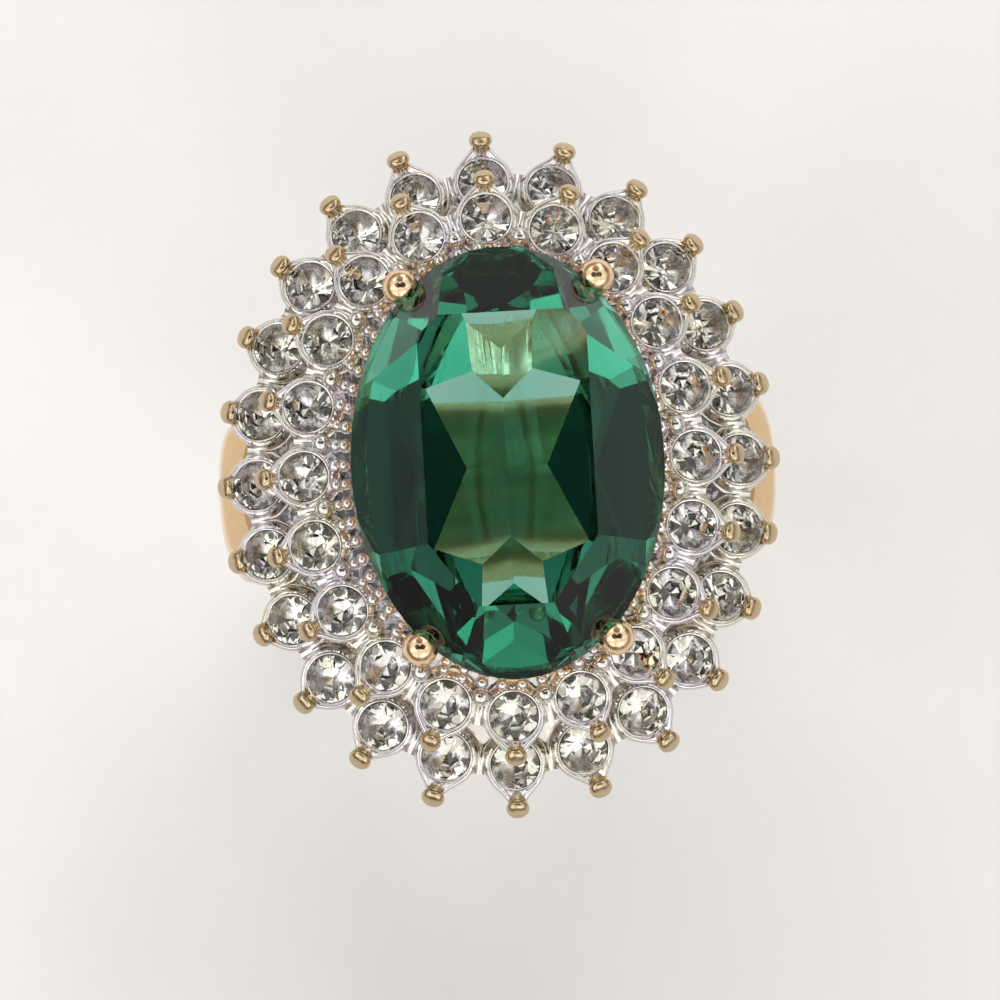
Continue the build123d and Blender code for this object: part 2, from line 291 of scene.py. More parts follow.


# %% Edge wear and darker concave corners
def make_wear():
    tree, inputs, outputs = new_group("Edge wear", {"Edge": 0.53, "Corner": 0.47, "Patches": 1400.0},
                                      ["Worn", "Dark corners"])
    bend = add(tree, "ShaderNodeNewGeometry").outputs["Pointiness"]
    noise = add(tree, "ShaderNodeTexNoise", Detail=3.0)
    tree.links.new(add(tree, "ShaderNodeTexCoord").outputs["Object"], noise.inputs["Vector"])
    tree.links.new(inputs.outputs["Patches"], noise.inputs["Scale"])
    patch = fit(tree, noise.outputs["Fac"], 0.4, 0.62)
    edge_full = math_node(tree, "ADD", inputs.outputs["Edge"], 0.06)
    edge = fit(tree, bend, inputs.outputs["Edge"], edge_full)
    corner_full = math_node(tree, "SUBTRACT", inputs.outputs["Corner"], 0.06)
    # The corner mask is 1 where the surface is concave, and there the metal's colour is darkened
    corner = fit(tree, bend, corner_full, inputs.outputs["Corner"], 1.0, 0.0)
    tree.links.new(math_node(tree, "MULTIPLY", edge, patch), outputs.inputs["Worn"])
    tree.links.new(corner, outputs.inputs["Dark corners"])
    return tree


wear = make_wear()


# %% [markdown]
# ## The metals
#
# The ring has three platings: yellow gold on the shank and base, bright rhodium with gilded beads on the
# petals around the crystals, and a rosier gold on the claws. All are full metals, so their colour is the
# colour of the reflection. The rhodium varies broadly between a cool and a warm tone. The two-tone plating
# needs to know where the gold begins: the mesh carries a value called gilding, and a noise frays its
# border as a brush would. The gold is satin under the head and paler inside the finger hole.


# %% One function for every plating
# The satin finish fades in over this height in mm, and makes the metal this much rougher
SATIN_FADE, SATIN_ROUGHNESS = 0.6, 0.38
# The paler gold is full up to the first distance from the finger hole in mm, and gone at the second
PALE_FULL_TO, PALE_ENDS_AT = 0.1, 0.4


def metal(name, colour, worn_colour, rough, bump, corner_colour, gilt_colour=None, second=None,
          satin_from=None, pale_inside=None):
    material, tree, shader = new_material(name, Metallic=1.0)
    lumps = place_group(tree, ripple)
    lines = place_group(tree, scratches)
    wear_and_corners = place_group(tree, wear)
    if second:
        patches = place_group(tree, ripple, Lumps=420.0, Grain=2600.0)
        colour = mix(tree, fit(tree, patches.outputs["Height"], 0.42, 0.68), colour, second)
    surface = mix(tree, wear_and_corners.outputs["Worn"], colour, worn_colour)
    if pale_inside:
        inside_radius, pale_colour = pale_inside
        spot = add(tree, "ShaderNodeVectorMath", operation="MULTIPLY")
        tree.links.new(add(tree, "ShaderNodeTexCoord").outputs["Object"], spot.inputs[0])
        spot.inputs[1].default_value = (1, 0, 1)
        radius = add(tree, "ShaderNodeVectorMath", operation="LENGTH")
        tree.links.new(spot.outputs[0], radius.inputs[0])
        inside = fit(tree, radius.outputs["Value"], inside_radius + PALE_FULL_TO * MM,
                     inside_radius + PALE_ENDS_AT * MM, 1.0, 0.0)
        surface = mix(tree, inside, surface, pale_colour)
    if gilt_colour:
        gilding = add(tree, "ShaderNodeAttribute", attribute_name="gilding")
        fray = math_node(tree, "MULTIPLY", math_node(tree, "SUBTRACT", lumps.outputs["Height"], 0.56), 0.4)
        edge = math_node(tree, "ADD", gilding.outputs["Fac"], fray)
        surface = mix(tree, fit(tree, edge, 0.42, 0.58), surface, gilt_colour)
    # Concave corners take a darker copy of the metal's colour
    surface = mix(tree, wear_and_corners.outputs["Dark corners"], surface, corner_colour)
    tree.links.new(surface, shader.inputs["Base Color"])
    base = fit(tree, lumps.outputs["Rough"], 0.0, 1.0, rough[0], rough[1])
    marked = math_node(tree, "ADD", base, math_node(tree, "MULTIPLY", lines.outputs["Mask"], 0.12))
    if satin_from:
        where = add(tree, "ShaderNodeSeparateXYZ")
        tree.links.new(add(tree, "ShaderNodeTexCoord").outputs["Object"], where.inputs[0])
        satin = fit(tree, where.outputs["Z"], satin_from, satin_from + SATIN_FADE * MM, 0, SATIN_ROUGHNESS)
        marked = math_node(tree, "ADD", marked, satin)
    tree.links.new(marked, shader.inputs["Roughness"])
    relief = add(tree, "ShaderNodeBump", Strength=1.0, Distance=bump * MM)
    height = math_node(tree, "ADD", lumps.outputs["Height"],
                       math_node(tree, "MULTIPLY", lines.outputs["Height"], 0.05))
    tree.links.new(height, relief.inputs["Height"])
    tree.links.new(relief.outputs["Normal"], shader.inputs["Normal"])
    return material


GOLD = (0.80, 0.58, 0.33)
ROSE_GOLD = (0.82, 0.58, 0.36)
RHODIUM = (0.74, 0.705, 0.74)
# The last colour given to each metal is the darker colour of its concave corners
gold_plate = metal("gold plate", GOLD, (0.86, 0.70, 0.52), (0.08, 0.20), 0.030, (0.38, 0.24, 0.12),
                   satin_from=bore_radius + 0.4 * MM, pale_inside=(bore_radius, (0.87, 0.77, 0.57)))
two_tone = metal("two tone plate", RHODIUM, (0.86, 0.80, 0.74), (0.10, 0.26), 0.045,
                 (0.34, 0.31, 0.30), gilt_colour=(0.56, 0.43, 0.26), second=(0.74, 0.71, 0.63))
claw_gold = metal("claw gold", ROSE_GOLD, (0.90, 0.68, 0.50), (0.04, 0.12), 0.012, (0.45, 0.27, 0.15))
print("metals:", [m.name for m in (gold_plate, two_tone, claw_gold)])

# %% [markdown]
# ## The glass of the stones
#
# The centre stone is clear green glass without foil, so light enters through the crown, crosses the back
# facets and comes out again. Its colour is an absorption in its volume, so thick parts are darker. The
# small crystals are colourless glass with a silvered back, which is why they sparkle even over metal.
# The silvering is a second material on their back facets, and it yellows a little in patches.

# %% Green glass and clear crystal
green_glass, glass_tree, glass_shader = new_material(
    "green glass", Transmission_Weight=1.0, IOR=1.62, Metallic=0.0)
smudges = place_group(glass_tree, scratches, Scale=260.0, Thinness=0.03)
smudge_roughness = fit(glass_tree, smudges.outputs["Mask"], 0.0, 1.0, 0.0, 0.10)
glass_tree.links.new(smudge_roughness, glass_shader.inputs["Roughness"])
glass_shader.inputs["Base Color"].default_value = (1.0, 1.0, 1.0, 1.0)
absorption = add(glass_tree, "ShaderNodeVolumeAbsorption", Density=200.0)
absorption.inputs["Color"].default_value = (0.0, 0.62, 0.47, 1.0)
glass_tree.links.new(absorption.outputs["Volume"], glass_tree.nodes["Material Output"].inputs["Volume"])

clear_glass, clear_tree, clear_shader = new_material(
    "clear crystal", Transmission_Weight=1.0, IOR=1.56, Metallic=0.0)
clear_shader.inputs["Base Color"].default_value = (1.0, 1.0, 1.0, 1.0)
clear_lines = place_group(clear_tree, scratches, Scale=900.0, Thinness=0.05)
line_roughness = fit(clear_tree, clear_lines.outputs["Mask"], 0.0, 1.0, 0.0, 0.12)
clear_tree.links.new(line_roughness, clear_shader.inputs["Roughness"])

foil, foil_tree, foil_shader = new_material("crystal foil", Metallic=1.0)
foil_lumps = place_group(foil_tree, ripple, Lumps=1500.0)
foil_tint = fit(foil_tree, foil_lumps.outputs["Height"], 0.40, 0.75)
foil_colour = mix(foil_tree, foil_tint, (0.96, 0.96, 0.96), (0.90, 0.89, 0.78))
foil_roughness = fit(foil_tree, foil_lumps.outputs["Rough"], 0.0, 1.0, 0.03, 0.10)
foil_tree.links.new(foil_colour, foil_shader.inputs["Base Color"])
foil_tree.links.new(foil_roughness, foil_shader.inputs["Roughness"])
print("glass density per metre:", absorption.inputs["Density"].default_value)

# %% [markdown]
# ## Helpers that make meshes
#
# A goldsmith turns, draws, cuts and solders. The same few operations make nearly every piece here:
# `turned` revolves a profile, `drawn` runs a round wire along a path, `cut` slices a blank with a flat
# facet, and `joined` and `hollowed` are the solder and the drill, done with the Boolean modifier.


# %% Piece, lathe and wire
def make_piece(name, points, faces, *materials):
    """An object from points in metres and faces."""
    mesh = bpy.data.meshes.new(name)
    mesh.from_pydata([tuple(p) for p in points], [], faces)
    mesh.update()
    for material in materials:
        mesh.materials.append(material)
    piece = bpy.data.objects.new(name, mesh)
    bpy.context.scene.collection.objects.link(piece)
    return piece


class Stock:
    """Points and faces of several closed solids that don't touch each other."""

    def __init__(self):
        self.points, self.faces = [], []

    def turned(self, profile, place, sides=28):
        """A solid of revolution. The profile is (radius, height) from the bottom to the top of the axis."""
        start = len(self.points)
        inner = profile[1:-1]
        self.points.append(place @ Vector((0, 0, profile[0][1])))
        for radius, height in inner:
            for step in range(sides):
                turn = 2 * math.pi * step / sides
                self.points.append(place @ Vector((radius * math.cos(turn), radius * math.sin(turn), height)))
        self.points.append(place @ Vector((0, 0, profile[-1][1])))
        last = len(self.points) - 1
        for step in range(sides):
            after = (step + 1) % sides
            self.faces.append((start, start + 1 + after, start + 1 + step))
            for row in range(len(inner) - 1):
                low, high = start + 1 + row * sides, start + 1 + (row + 1) * sides
                self.faces.append((low + step, low + after, high + after, high + step))
            top = start + 1 + (len(inner) - 1) * sides
            self.faces.append((last, top + step, top + after))

    def ringed(self, loop, place, sides=48):
        """A ring: a closed loop of (radius, height) points, counter-clockwise, taken round the axis."""
        start, count = len(self.points), len(loop)
        for step in range(sides):
            turn = 2 * math.pi * step / sides
            for radius, height in loop:
                self.points.append(place @ Vector((radius * math.cos(turn), radius * math.sin(turn), height)))
        for step in range(sides):
            here, there = start + step * count, start + (step + 1) % sides * count
            for k in range(count):
                after = (k + 1) % count
                self.faces.append((here + k, there + k, there + after, here + after))

    def drawn(self, path, radii, sides=20):
        """A round wire along a path, with its own radius at each point, closed at both ends."""
        start = len(self.points)
        side = None
        for index, (point, radius) in enumerate(zip(path, radii)):
            before, after = path[max(index - 1, 0)], path[min(index + 1, len(path) - 1)]
            along = (after - before).normalized()
            side = (along.orthogonal() if side is None else side - along * side.dot(along)).normalized()
            other = along.cross(side)
            for step in range(sides):
                turn = 2 * math.pi * step / sides
                self.points.append(point + (side * math.cos(turn) + other * math.sin(turn)) * radius)
        for row in range(len(path) - 1):
            low, high = start + row * sides, start + (row + 1) * sides
            for step in range(sides):
                after = (step + 1) % sides
                self.faces.append((low + step, low + after, high + after, high + step))
        self.faces.append(tuple(start + step for step in reversed(range(sides))))
        top = start + (len(path) - 1) * sides
        self.faces.append(tuple(top + step for step in range(sides)))

    def piece(self, name, *materials):
        return make_piece(name, self.points, self.faces, *materials)


def frame_at(point, axis, outward):
    """A place whose z is the axis and whose x points outwards."""
    z = axis.normalized()
    x = (outward - z * outward.dot(z)).normalized()
    y = z.cross(x)
    return Matrix((
        (x.x, y.x, z.x, point.x), (x.y, y.y, z.y, point.y), (x.z, y.z, z.z, point.z), (0, 0, 0, 1)))


# %% Solder, drill and smoothing
def combined(piece, tool, operation):
    """The Boolean modifier, applied at once. The tool is used up."""
    modifier = piece.modifiers.new("combine", "BOOLEAN")
    modifier.operation, modifier.solver, modifier.object = operation, "MANIFOLD", tool
    apply_modifiers(piece)
    bpy.data.objects.remove(tool)
    for index in reversed(range(len(piece.data.materials))):
        if piece.data.materials[index] is None:
            piece.data.materials.pop(index=index)
    return piece


def apply_modifiers(piece):
    bpy.context.view_layer.update()
    made = bpy.data.meshes.new_from_object(piece.evaluated_get(bpy.context.evaluated_depsgraph_get()))
    old = piece.data
    piece.modifiers.clear()
    piece.data = made
    bpy.data.meshes.remove(old)


def joined(piece, tool):
    return combined(piece, tool, "UNION")


def hollowed(piece, tool):
    return combined(piece, tool, "DIFFERENCE")


def smooth(piece, angle=38):
    """Smooth shading that keeps edges sharper than the angle."""
    piece.data.shade_smooth()
    piece.data.set_sharp_from_angle(angle=math.radians(angle))


def fitted(piece, slot, *nodes):
    """Ties a finished piece to the ring: what it rides on and what it stands for. The slot is not used."""
    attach(piece, "root")
    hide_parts(*nodes)
    print(piece.name, "faces:", len(piece.data.polygons))
    return piece


# %% [markdown]
# ## Cutting gems
#
# A cutter starts from a blank and grinds one flat facet after another against a wheel. The same can be
# done to a mesh: each facet is a plane, and everything outside it is cut off. The blank is a prism, the
# facets are given by direction, slope and one point, and the crossing of the planes makes the pattern.


# %% Facets
def ground(mesh, point, normal):
    """Grinds one flat facet. What lies outside the plane goes, and the cut is closed."""
    geometry = mesh.verts[:] + mesh.edges[:] + mesh.faces[:]
    result = bmesh.ops.bisect_plane(mesh, geom=geometry, plane_co=point, plane_no=normal,
                                    clear_outer=True, dist=1e-7)
    edges = [e for e in result["geom_cut"] if isinstance(e, bmesh.types.BMEdge)]
    if edges:
        bmesh.ops.edgeloop_fill(mesh, edges=edges)


def prism(half_x, half_y, low, high, sides):
    """The blank: an upright oval prism."""
    mesh = bmesh.new()
    rings = []
    for level in (low, high):
        rings.append([mesh.verts.new((half_x * math.cos(2 * math.pi * s / sides),
                                      half_y * math.sin(2 * math.pi * s / sides), level))
                      for s in range(sides)])
    mesh.faces.new(list(reversed(rings[0])))
    mesh.faces.new(rings[1])
    for s in range(sides):
        t = (s + 1) % sides
        mesh.faces.new((rings[0][s], rings[0][t], rings[1][t], rings[1][s]))
    return mesh


def slope_facet(mesh, turn, radius, level, slope, side):
    """A facet of a round stone through (radius, level). Side is 1 for the crown and -1 for the back."""
    out_x, out_y = math.cos(turn), math.sin(turn)
    tilt = math.radians(slope)
    normal = (math.sin(tilt) * out_x, math.sin(tilt) * out_y, side * math.cos(tilt))
    ground(mesh, (radius * out_x, radius * out_y, level), normal)


# %% The small crystal, for a girdle radius of 1
CHATON_GIRDLE = 0.06
CHATON_CROWN = 0.40
CHATON_TABLE = 0.56
CHATON_BACK = 0.78


def cut_chaton():
    mesh = prism(1.0, 1.0, -CHATON_GIRDLE - CHATON_BACK, CHATON_CROWN, 48)
    eighth = math.pi / 4
    main = math.degrees(math.atan2(CHATON_CROWN - CHATON_GIRDLE, 1 - CHATON_TABLE))
    back = math.degrees(math.atan(CHATON_BACK))
    for step in range(8):
        turn = step * eighth
        slope_facet(mesh, turn, 1.0, CHATON_GIRDLE, main, 1)
        slope_facet(mesh, turn, 1.0, -CHATON_GIRDLE, back, -1)
        slope_facet(mesh, turn + eighth / 2, CHATON_TABLE * math.cos(eighth / 2), CHATON_CROWN, 21, 1)
        for half in (-0.25, 0.25):
            slope_facet(mesh, turn + half * eighth, 1.0, CHATON_GIRDLE, main + 5, 1)
            slope_facet(mesh, turn + half * eighth, 1.0, -CHATON_GIRDLE, back + 2.4, -1)
    return mesh


chaton = cut_chaton()
print("facets of a crystal:", len(chaton.faces))

# %% [markdown]
# The silvered back is what a setter sees first when a stone is turned over. Every face that points
# downwards gets the silvering, and the crown and girdle stay clear. Each crystal is turned by its own
# small angle about its axis, because nobody lines up forty-four stones.


# %% Set the crystals in place
def set_crystal(node, place, turn):
    centre, axis, radius = place
    mesh = bpy.data.meshes.new(node.replace("crystal", "chaton"))
    chaton.to_mesh(mesh)
    mesh.materials.append(clear_glass)
    mesh.materials.append(foil)
    for face in mesh.polygons:
        face.material_index = 1 if face.normal.z < -0.2 else 0
    outward = Vector((centre.x, centre.y, 0)).normalized()
    place = frame_at(centre, axis, outward) @ Matrix.Rotation(turn, 4, "Z") @ Matrix.Scale(radius, 4)
    mesh.transform(place)
    piece = bpy.data.objects.new(mesh.name, mesh)
    bpy.context.scene.collection.objects.link(piece)
    return fitted(piece, "clear_crystal", node)


chance = random.Random(7)
for node, place in zip(outer_names + inner_names, outer_places + inner_places):
    set_crystal(node, place, chance.uniform(0, math.pi / 4))
chaton.free()

# %% [markdown]
# ## The centre stone
#
# It is an oval with a keel: a ridge along the deepest line in place of a point. Four big facets slope up
# from the keel and make an hourglass with its waist in the middle. At each end of the keel two facets make
# an arrow, and the two arrows rise at slightly different slopes. End and corner facets close the back. The
# crown has a wide table, eight main facets and small breaks at the girdle. A plane through three points
# gives each facet, so the pattern seen through the table is the pattern chosen here.


# %% Facets through three points
def three_point_facet(mesh, first, second, third, side):
    """A facet through three points. Side is 1 on the crown and -1 on the back."""
    first, second, third = Vector(first), Vector(second), Vector(third)
    normal = (second - first).cross(third - first).normalized()
    if normal.z * side < 0:
        normal = -normal
    ground(mesh, first, normal)


def mirrored(mesh, points, side, over_x=True, over_y=True):
    """The same facet in the two or four corners of the stone."""
    for sign_x in ((1, -1) if over_x else (1,)):
        for sign_y in ((1, -1) if over_y else (1,)):
            three_point_facet(mesh, *[(sign_x * x, sign_y * y, z) for x, y, z in points], side)


# %% Cut the green stone, in millimetres about its own girdle
STONE_X, STONE_Y = stone_half_x / MM, stone_half_y / MM
GIRDLE_MIDDLE = (girdle_low + girdle_high) / 2
HALF_GIRDLE = (girdle_high - girdle_low) / 2 / MM
CROWN_TOP = (stone_high.z - GIRDLE_MIDDLE) / MM
KEEL_DEEP = (stone_low.z - GIRDLE_MIDDLE) / MM
KEEL_END = 2.9
KEEL_RISE = 0.12
FAR_ARROW_RISE = 0.50
NEAR_ARROW_RISE = 0.40
WAIST = 1.68
CORNER = Vector((3.23, 3.35))
FORK = Vector((1.4, 6.05))
BREAK_RISE = 1.5
BEND = Vector((1.25, KEEL_END + 1.15))
TIP_BEYOND_KEEL = 2
TIP_STEEPENING = 1.22
CROWN_BREAK_LIFT, CROWN_BREAK_RISE = 0.12, 1.12
# Crown facets: the direction in degrees, and a point where the facet meets the table
CROWN_FACETS = ((0, 3.5, 0), (180, -3.5, 0), (90, 0, 6.05), (270, 0, -6.05),
                (50, 3.45, 6.0), (130, -3.45, 6.0), (315, 2.5, -4.75), (225, -2.5, -4.75))


def oval_point(turn_degrees, level, share=1.0):
    turn = math.radians(turn_degrees)
    return share * STONE_X * math.cos(turn), share * STONE_Y * math.sin(turn), level


def cut_green_stone():
    mesh = prism(STONE_X, STONE_Y, KEEL_DEEP, CROWN_TOP, 96)
    top, edge, deep = HALF_GIRDLE, -HALF_GIRDLE, KEEL_DEEP
    for turn, table_x, table_y in CROWN_FACETS:
        x, y, _ = oval_point(turn, 0)
        along = Vector((-STONE_X * math.sin(math.radians(turn)), STONE_Y * math.cos(math.radians(turn)), 0))
        outer = Vector((x, y, top))
        three_point_facet(mesh, outer, outer + along, Vector((table_x, table_y, CROWN_TOP)), 1)
    for turn in range(0, 360, 45):
        for half in (-11.25, 11.25):
            x, y, _ = oval_point(turn + half, 0)
            angle = math.radians(turn + half)
            along = Vector((-STONE_X * math.sin(angle), STONE_Y * math.cos(angle), 0))
            outer = Vector((x, y, top + CROWN_BREAK_LIFT))
            inward = Vector((-x, -y, 0)).normalized()
            raised = outer + inward + Vector((0, 0, CROWN_BREAK_RISE))
            three_point_facet(mesh, outer, outer + along, raised, 1)
    lean = KEEL_RISE * CORNER.y / (CORNER.x - WAIST)
    main_rise = (edge - deep - lean * (STONE_X - WAIST)) / STONE_X
    side_rise = main_rise + lean
    print("rise of the main facets:", round(main_rise, 3), "and of the side facets:", round(side_rise, 3))

    def main_height(x, y):
        return deep + main_rise * x + KEEL_RISE * y

    waist_high, keel_high = main_height(WAIST, 0), main_height(0, KEEL_END)
    bend_high = main_height(*BEND)

    def arrow_across_rise(rise):
        """How fast an arrow facet climbs across the stone when it climbs along it by rise."""
        return (bend_high - keel_high - (BEND.y - KEEL_END) * rise) / BEND.x

    mirrored(mesh, [(0, 0, deep), (0, KEEL_END, keel_high), (WAIST, 0, waist_high)], -1)
    side_points = [(WAIST, -1, waist_high), (WAIST, 1, waist_high), (WAIST + 1, 0, waist_high + side_rise)]
    mirrored(mesh, side_points, -1, over_y=False)
    for end, rise in ((1, FAR_ARROW_RISE), (-1, NEAR_ARROW_RISE)):
        tip_y = end * (KEEL_END + TIP_BEYOND_KEEL)
        tip = keel_high + TIP_BEYOND_KEEL * rise
        across_rise = arrow_across_rise(rise)
        arrow_points = [(0, end * KEEL_END, keel_high), (0, tip_y, tip), (BEND.x, end * BEND.y, bend_high)]
        mirrored(mesh, arrow_points, -1, over_y=False)
        three_point_facet(mesh, Vector((-1, tip_y, tip)), Vector((1, tip_y, tip)),
                          Vector((0, tip_y + end, tip + rise + TIP_STEEPENING * across_rise)), -1)
    for step in range(16):
        angle = step * math.pi / 8
        x, y = STONE_X * math.cos(angle), STONE_Y * math.sin(angle)
        along = Vector((-STONE_X * math.sin(angle), STONE_Y * math.cos(angle), 0))
        outer = Vector((x, y, edge))
        inward = Vector((-STONE_Y * math.cos(angle), -STONE_X * math.sin(angle), 0)).normalized()
        three_point_facet(mesh, outer, outer + along, outer + inward - Vector((0, 0, BREAK_RISE)), -1)
    for end, rise in ((1, FAR_ARROW_RISE), (-1, NEAR_ARROW_RISE)):
        fork_high = keel_high + FORK.x * arrow_across_rise(rise) + rise * (FORK.y - KEEL_END)
        mirrored(mesh, [(BEND.x, end * BEND.y, bend_high), (CORNER.x, end * CORNER.y, main_height(*CORNER)),
                        (FORK.x, end * FORK.y, fork_high)], -1, over_y=False)
    return mesh


def finish_green_stone():
    mesh_data = bpy.data.meshes.new("green_stone")
    cutter = cut_green_stone()
    print("facets of the green stone:", len(cutter.faces))
    cutter.to_mesh(mesh_data)
    cutter.free()
    middle = Matrix.Translation((stone_middle.x, stone_middle.y, GIRDLE_MIDDLE))
    mesh_data.transform(middle @ Matrix.Scale(MM, 4))
    mesh_data.materials.append(green_glass)
    piece = bpy.data.objects.new("green_stone", mesh_data)
    bpy.context.scene.collection.objects.link(piece)
    return fitted(piece, "green_glass", "centre_stone")


finish_green_stone()

# %% [markdown]
# ## The two tiers of petals
#
# Each tier is one casting: a band of cups, and every cup is a petal that narrows outwards to a post with
# a bead. A petal has a thin raised rim, a hollow floor and a wall that falls away outside. To get crisp
# rims with an even mesh, the casting is drawn as a grid. One direction runs round the oval and the other
# runs across the band: up the inside, over the top, down the outer wall and back underneath. How far a
# point is from the petal's outline says how high it stands, so a rim is a curve of height over distance.

# %% Sizes of the petals, in millimetres
CUP_WALL = 0.36
CUP_DEPTH = 1.25
BAND_INSIDE = -2.3
BAND_EDGE = 0.42
PETAL_BLEND = 0.55
ARM_ROOT = 0.80
ARM_BLEND = 0.45
WALL_DRAFT = 0.16
PETAL_SAMPLES = 36
ACROSS_SAMPLES = 20
RIM_DISTANCES = (-0.36, -0.29, -0.23, -0.18, -0.14, -0.10, -0.06, -0.03, 0.0)
# Height of the petal's top above the girdle, by distance from its outline (negative inside)
PROFILE_AT = (-0.40, -0.33, -0.26, -0.20, -0.15, -0.11, -0.07, -0.03, 0.0, 0.06, 0.14, 0.24)
PROFILE_UP = (-0.10, -0.095, -0.06, -0.01, 0.02, 0.025, 0.01, -0.04, -0.10, -0.19, -0.27, -0.30)


# %% Even spacing round an oval
def around_oval(half_x, half_y, samples, start=0.0):
    """Evenly spaced points on an oval and the outward directions there."""
    fine = np.linspace(0, 2 * np.pi, 20001)
    x, y = half_x * np.cos(fine), half_y * np.sin(fine)
    length = np.concatenate([[0], np.cumsum(np.hypot(np.diff(x), np.diff(y)))])
    shares = ((np.arange(samples) + start) / samples) % 1.0
    turn = np.interp(shares * length[-1], length, fine)
    points = np.stack([half_x * np.cos(turn), half_y * np.sin(turn)], 1)
    out = np.stack([half_y * np.cos(turn), half_x * np.sin(turn)], 1)
    return points, out / np.linalg.norm(out, axis=1)[:, None]


# %% A plan of one tier, measured from its crystals
class TierPlan:
    """Where the cups of one tier stand. Lengths are in millimetres."""

    def __init__(self, places, underside, post_side, post_end, bead_radius):
        self.count = len(places)
        self.centres = np.array([[c.x, c.y] for c, _, _ in places]) / MM
        self.half_x = np.abs(self.centres[:, 0]).max()
        self.half_y = np.abs(self.centres[:, 1]).max()
        self.level = sum(c.z for c, _, _ in places) / self.count / MM
        self.lean = math.acos(min(1.0, sum(a.z for _, a, _ in places) / self.count))
        flat = np.array([[a.x, a.y] for _, a, _ in places])
        self.outward = flat / np.linalg.norm(flat, axis=1)[:, None]
        self.places = places
        self.underside = underside / MM
        self.bead_radius = bead_radius
        endward = np.abs(self.centres[:, 1]) / self.half_y
        self.reach = post_side + (post_end - post_side) * endward**2

    def around(self, samples, start=0.0, inset=0.0):
        """Evenly spaced points on the tier's own oval, or on one that lies inside it."""
        return around_oval(self.half_x - inset, self.half_y - inset, samples, start)


upper_plan = TierPlan(inner_places, upper_low.z, 1.68, 1.68, 0.44)
lower_plan = TierPlan(outer_places, lower_low.z, 1.3, 1.85, 0.48)
for plan in (upper_plan, lower_plan):
    print("tier:", plan.count, "cups, half widths", round(plan.half_x, 2), round(plan.half_y, 2),
          "level", round(plan.level, 2), "lean", round(math.degrees(plan.lean), 1))

# %% [markdown]
# The outline of a petal is two circles, a large one around the crystal and a small one at the post, and
# the straight sides that touch both. The distance to that shape has a known formula. Where neighbours
# meet, their distances are blended softly, as wax softens a corner, and so are their heights.


# %% Distance to a petal, and the height of the casting
def soft_min(first, second, blend):
    share = np.clip(0.5 + 0.5 * (second - first) / blend, 0, 1)
    return second * (1 - share) + first * share - blend * share * (1 - share)


def petal_distance(across, out, reach, large, small):
    """Distance in millimetres from the outline of a petal that points along out. Negative is inside."""
    cup = np.hypot(across, out) - large
    along = np.clip(out / reach, 0.3, 1.0)
    arm_width = ARM_ROOT + (small - ARM_ROOT) * (along - 0.3) / 0.7
    arm = np.hypot(across, out - along * reach) - arm_width
    return soft_min(cup, arm, ARM_BLEND)


def petals_at(plan, points, cup):
    """For each point and its three nearest cups: the distance to the petals, and the leaning level."""
    nearest = [(cup + step) % plan.count for step in (-1, 0, 1)]
    distances, levels = [], []
    for index in nearest:
        offset = points - plan.centres[index]
        out = (offset * plan.outward[index]).sum(-1)
        across = offset[..., 1] * plan.outward[index][..., 0] - offset[..., 0] * plan.outward[index][..., 1]
        large = crystal_radius / MM + CUP_WALL - 0.06
        distances.append(petal_distance(across, out / math.cos(plan.lean), plan.reach[index], large,
                                        0.62 * plan.bead_radius))
        levels.append(plan.level - out * math.tan(plan.lean))
    distances, levels = np.array(distances), np.array(levels)
    weights = np.exp(-(distances - distances.min(0)) / 0.12)
    level = (levels * weights).sum(0) / weights.sum(0)
    order = np.sort(distances, axis=0)
    return soft_min(order[0], order[1], PETAL_BLEND), level


